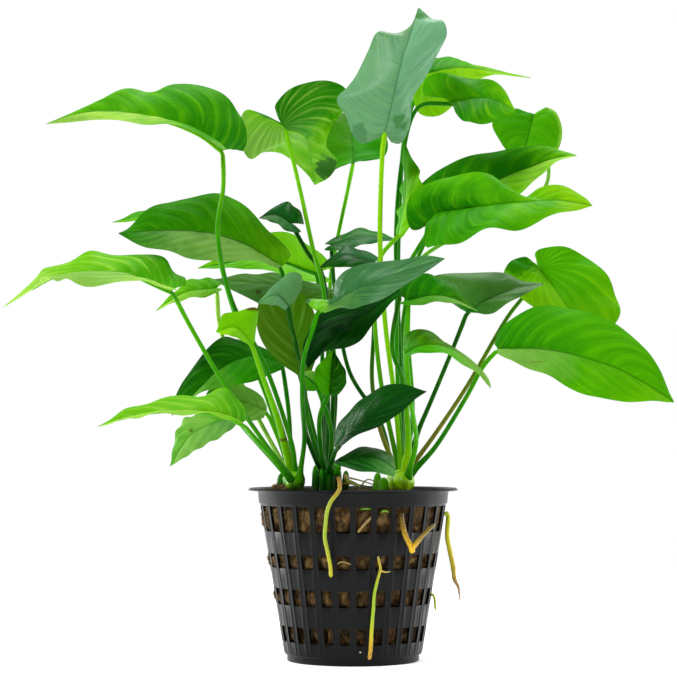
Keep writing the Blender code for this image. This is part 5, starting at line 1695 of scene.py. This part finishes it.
def make_wool():
    """The rock wool: a felted plug, lumpy on top, that swells a little into the windows."""
    top = np.linspace(1.0, WOOL_TOP_RADIUS, WOOL_TOP_RINGS)
    side = np.linspace(WOOL_EDGE_TOP, WOOL_LOWEST_SIDE, WOOL_SIDE_RINGS)
    rings = [(r, WOOL_CENTRE_TOP, "top") for r in top]
    rings += [(body_radius(z) - WOOL_GAP, z, "side") for z in side]
    rings += [(r, WOOL_FLOOR, "floor") for r in (FOOT_RADIUS - 2.2, 20.0, 8.0)]
    # bed says how freely loose fibres lie at each point
    points, bed = [], []
    for radius, height, kind in rings:
        for j in range(WOOL_SIDES):
            angle = 2 * math.pi * j / WOOL_SIDES
            place = Vector((radius * math.cos(angle), radius * math.sin(angle), height))
            if kind == "top":
                points.append(wool_top(place, radius))
                bed.append(0.5)
            elif kind == "side":
                room = window_room(angle, height)
                points.append(wool_side(place, radius, angle, height, room))
                bed.append(room)
            else:
                points.append(tuple(place))
                bed.append(0.0)
    wool = ringed_solid("felted_rock_wool", points, WOOL_SIDES, {"bed": bed})
    # The near-black first colour is painted shade of the gaps in the wool
    wool.data.materials.append(wool_material("rock_wool_felt",
        ["#080502", "#30220C", "#553C18", "#74552C", "#947448"]))
    fibres = make_fibres(wool)
    settle(wool, "rock_wool", "rock_wool")
    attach(fibres, "root")


def fibre_tree():
    """Scatters bent fibres over a surface, lying along it."""
    tree, given = new_tree("fibres_on_wool", {"Fibre": "Object", "Density": "Float", "Seed": "Int",
        "Surface": "Material"})
    seed = given.outputs["Seed"]
    bed = node(tree, "GeometryNodeInputNamedAttribute", {"Name": "bed"}, data_type="FLOAT")
    density = node(tree, "ShaderNodeMath", {0: bed, 1: given.outputs["Density"]},
        operation="MULTIPLY")
    spots = node(tree, "GeometryNodeDistributePointsOnFaces",
        {"Mesh": given.outputs["Geometry"], "Density": density, "Seed": seed})
    fibre = node(tree, "GeometryNodeObjectInfo", {"Object": given.outputs["Fibre"]})
    spin = node(tree, "FunctionNodeRandomValue",
        {0: (-0.25, -0.25, -3.1), 1: (0.25, 0.25, 3.1), "Seed": seed}, data_type="FLOAT_VECTOR")
    euler = node(tree, "FunctionNodeEulerToRotation", {0: spin})
    turned = node(tree, "FunctionNodeRotateRotation",
        {"Rotation": spots.outputs["Rotation"], "Rotate By": euler}, rotation_space="LOCAL")
    size = node(tree, "FunctionNodeRandomValue", {2: 0.5, 3: 1.3, "Seed": seed}, data_type="FLOAT")
    copies = node(tree, "GeometryNodeInstanceOnPoints", {"Points": spots,
        "Instance": fibre.outputs["Geometry"], "Rotation": turned, "Scale": size})
    return end_tree(tree, given, copies)


def make_fibres(wool):
    """Loose fibres that lie on the wool's top and in its windows."""
    colour = wool_material("loose_wool_fibre", ["#33260F", "#66502A", "#8E7848"])
    fibre = tubes("one_fibre", [FIBRE], colour, FIBRE_SIDES)
    bed = new_object("loose_wool_fibres", wool.data.copy())
    grow(bed, fibre_tree(), {"Fibre": fibre, "Density": FIBRES_PER_SQUARE_METRE,
        "Seed": FIBRE_SEED, "Surface": colour})
    bpy.data.objects.remove(fibre)
    return bed


# Floor, light and camera


def make_world():
    """A white surround, dimmer overhead and behind the eye, so that the softboxes give shape."""
    world = bpy.data.worlds.new("white_studio")
    world.use_nodes = True
    tree = world.node_tree
    way = node(tree, "ShaderNodeTexCoord").outputs["Generated"]
    parts = node(tree, "ShaderNodeSeparateXYZ", {0: way}).outputs
    front = fade(tree, parts["Y"], -0.55, 0.25, FRONT_LIGHT, 1.0)
    shown = fade(tree, parts["Z"], 0.2, 0.55, SURROUND_LIGHT, OVERHEAD_LIGHT, strengths=(front,))
    feed(tree, tree.nodes["Background"], {"Strength": shown, "Color": linear("#FFFFFF")})
    bpy.context.scene.world = world


def aimed(name, data, place, aim):
    """A lamp or camera at a place, turned to its aim."""
    obj = new_object(name, data)
    obj.location = place
    obj.rotation_mode = "QUATERNION"
    obj.rotation_quaternion = (Vector(aim) - Vector(place)).to_track_quat("-Z", "Y")
    return obj


def make_stage():
    """A plain pale floor, soft studio light and the camera at the eye's place."""
    turns = [2 * math.pi * i / FLOOR_SIDES for i in range(FLOOR_SIDES)]
    rim = [(FLOOR_RADIUS * math.cos(a), FLOOR_RADIUS * math.sin(a), 0) for a in turns]
    floor = mesh_object("studio_floor", rim, [tuple(range(FLOOR_SIDES))])
    floor.data.materials.append(paper_material())
    make_world()
    for name, place, aim, size, power in SOFTBOXES:
        lamp = bpy.data.lights.new(name, "AREA")
        lamp.shape = "RECTANGLE"
        lamp.size, lamp.size_y = size
        lamp.energy = power
        aimed(name, lamp, place, aim)
    eye = bpy.data.cameras.new("eye")
    eye.sensor_width = SENSOR_WIDTH
    eye.lens = LENS
    eye.clip_start = 0.01
    place = (0.0, -EYE_DISTANCE * MM, EYE_HEIGHT * MM)
    bpy.context.scene.camera = aimed("eye", eye, place, CAMERA_AIM)
    bpy.context.scene.view_settings.view_transform = "Standard"


# Skins that several leaves share, made when the first of them needs one
UNDERSIDES, STALK_SKINS = {}, {}
TUBE_TREE = tube_tree()

make_stage()
make_pot()
make_wool()
for stem_side, stem_shape in CREEPING_STEMS.items():
    make_creeping_stem(stem_side, stem_shape)
for root_name, root_shape in ROOTS.items():
    make_root(root_name, root_shape)
make_thin_rootlets()
for leaf_name, leaf_shape in LEAVES.items():
    make_leaf(leaf_name, leaf_shape)
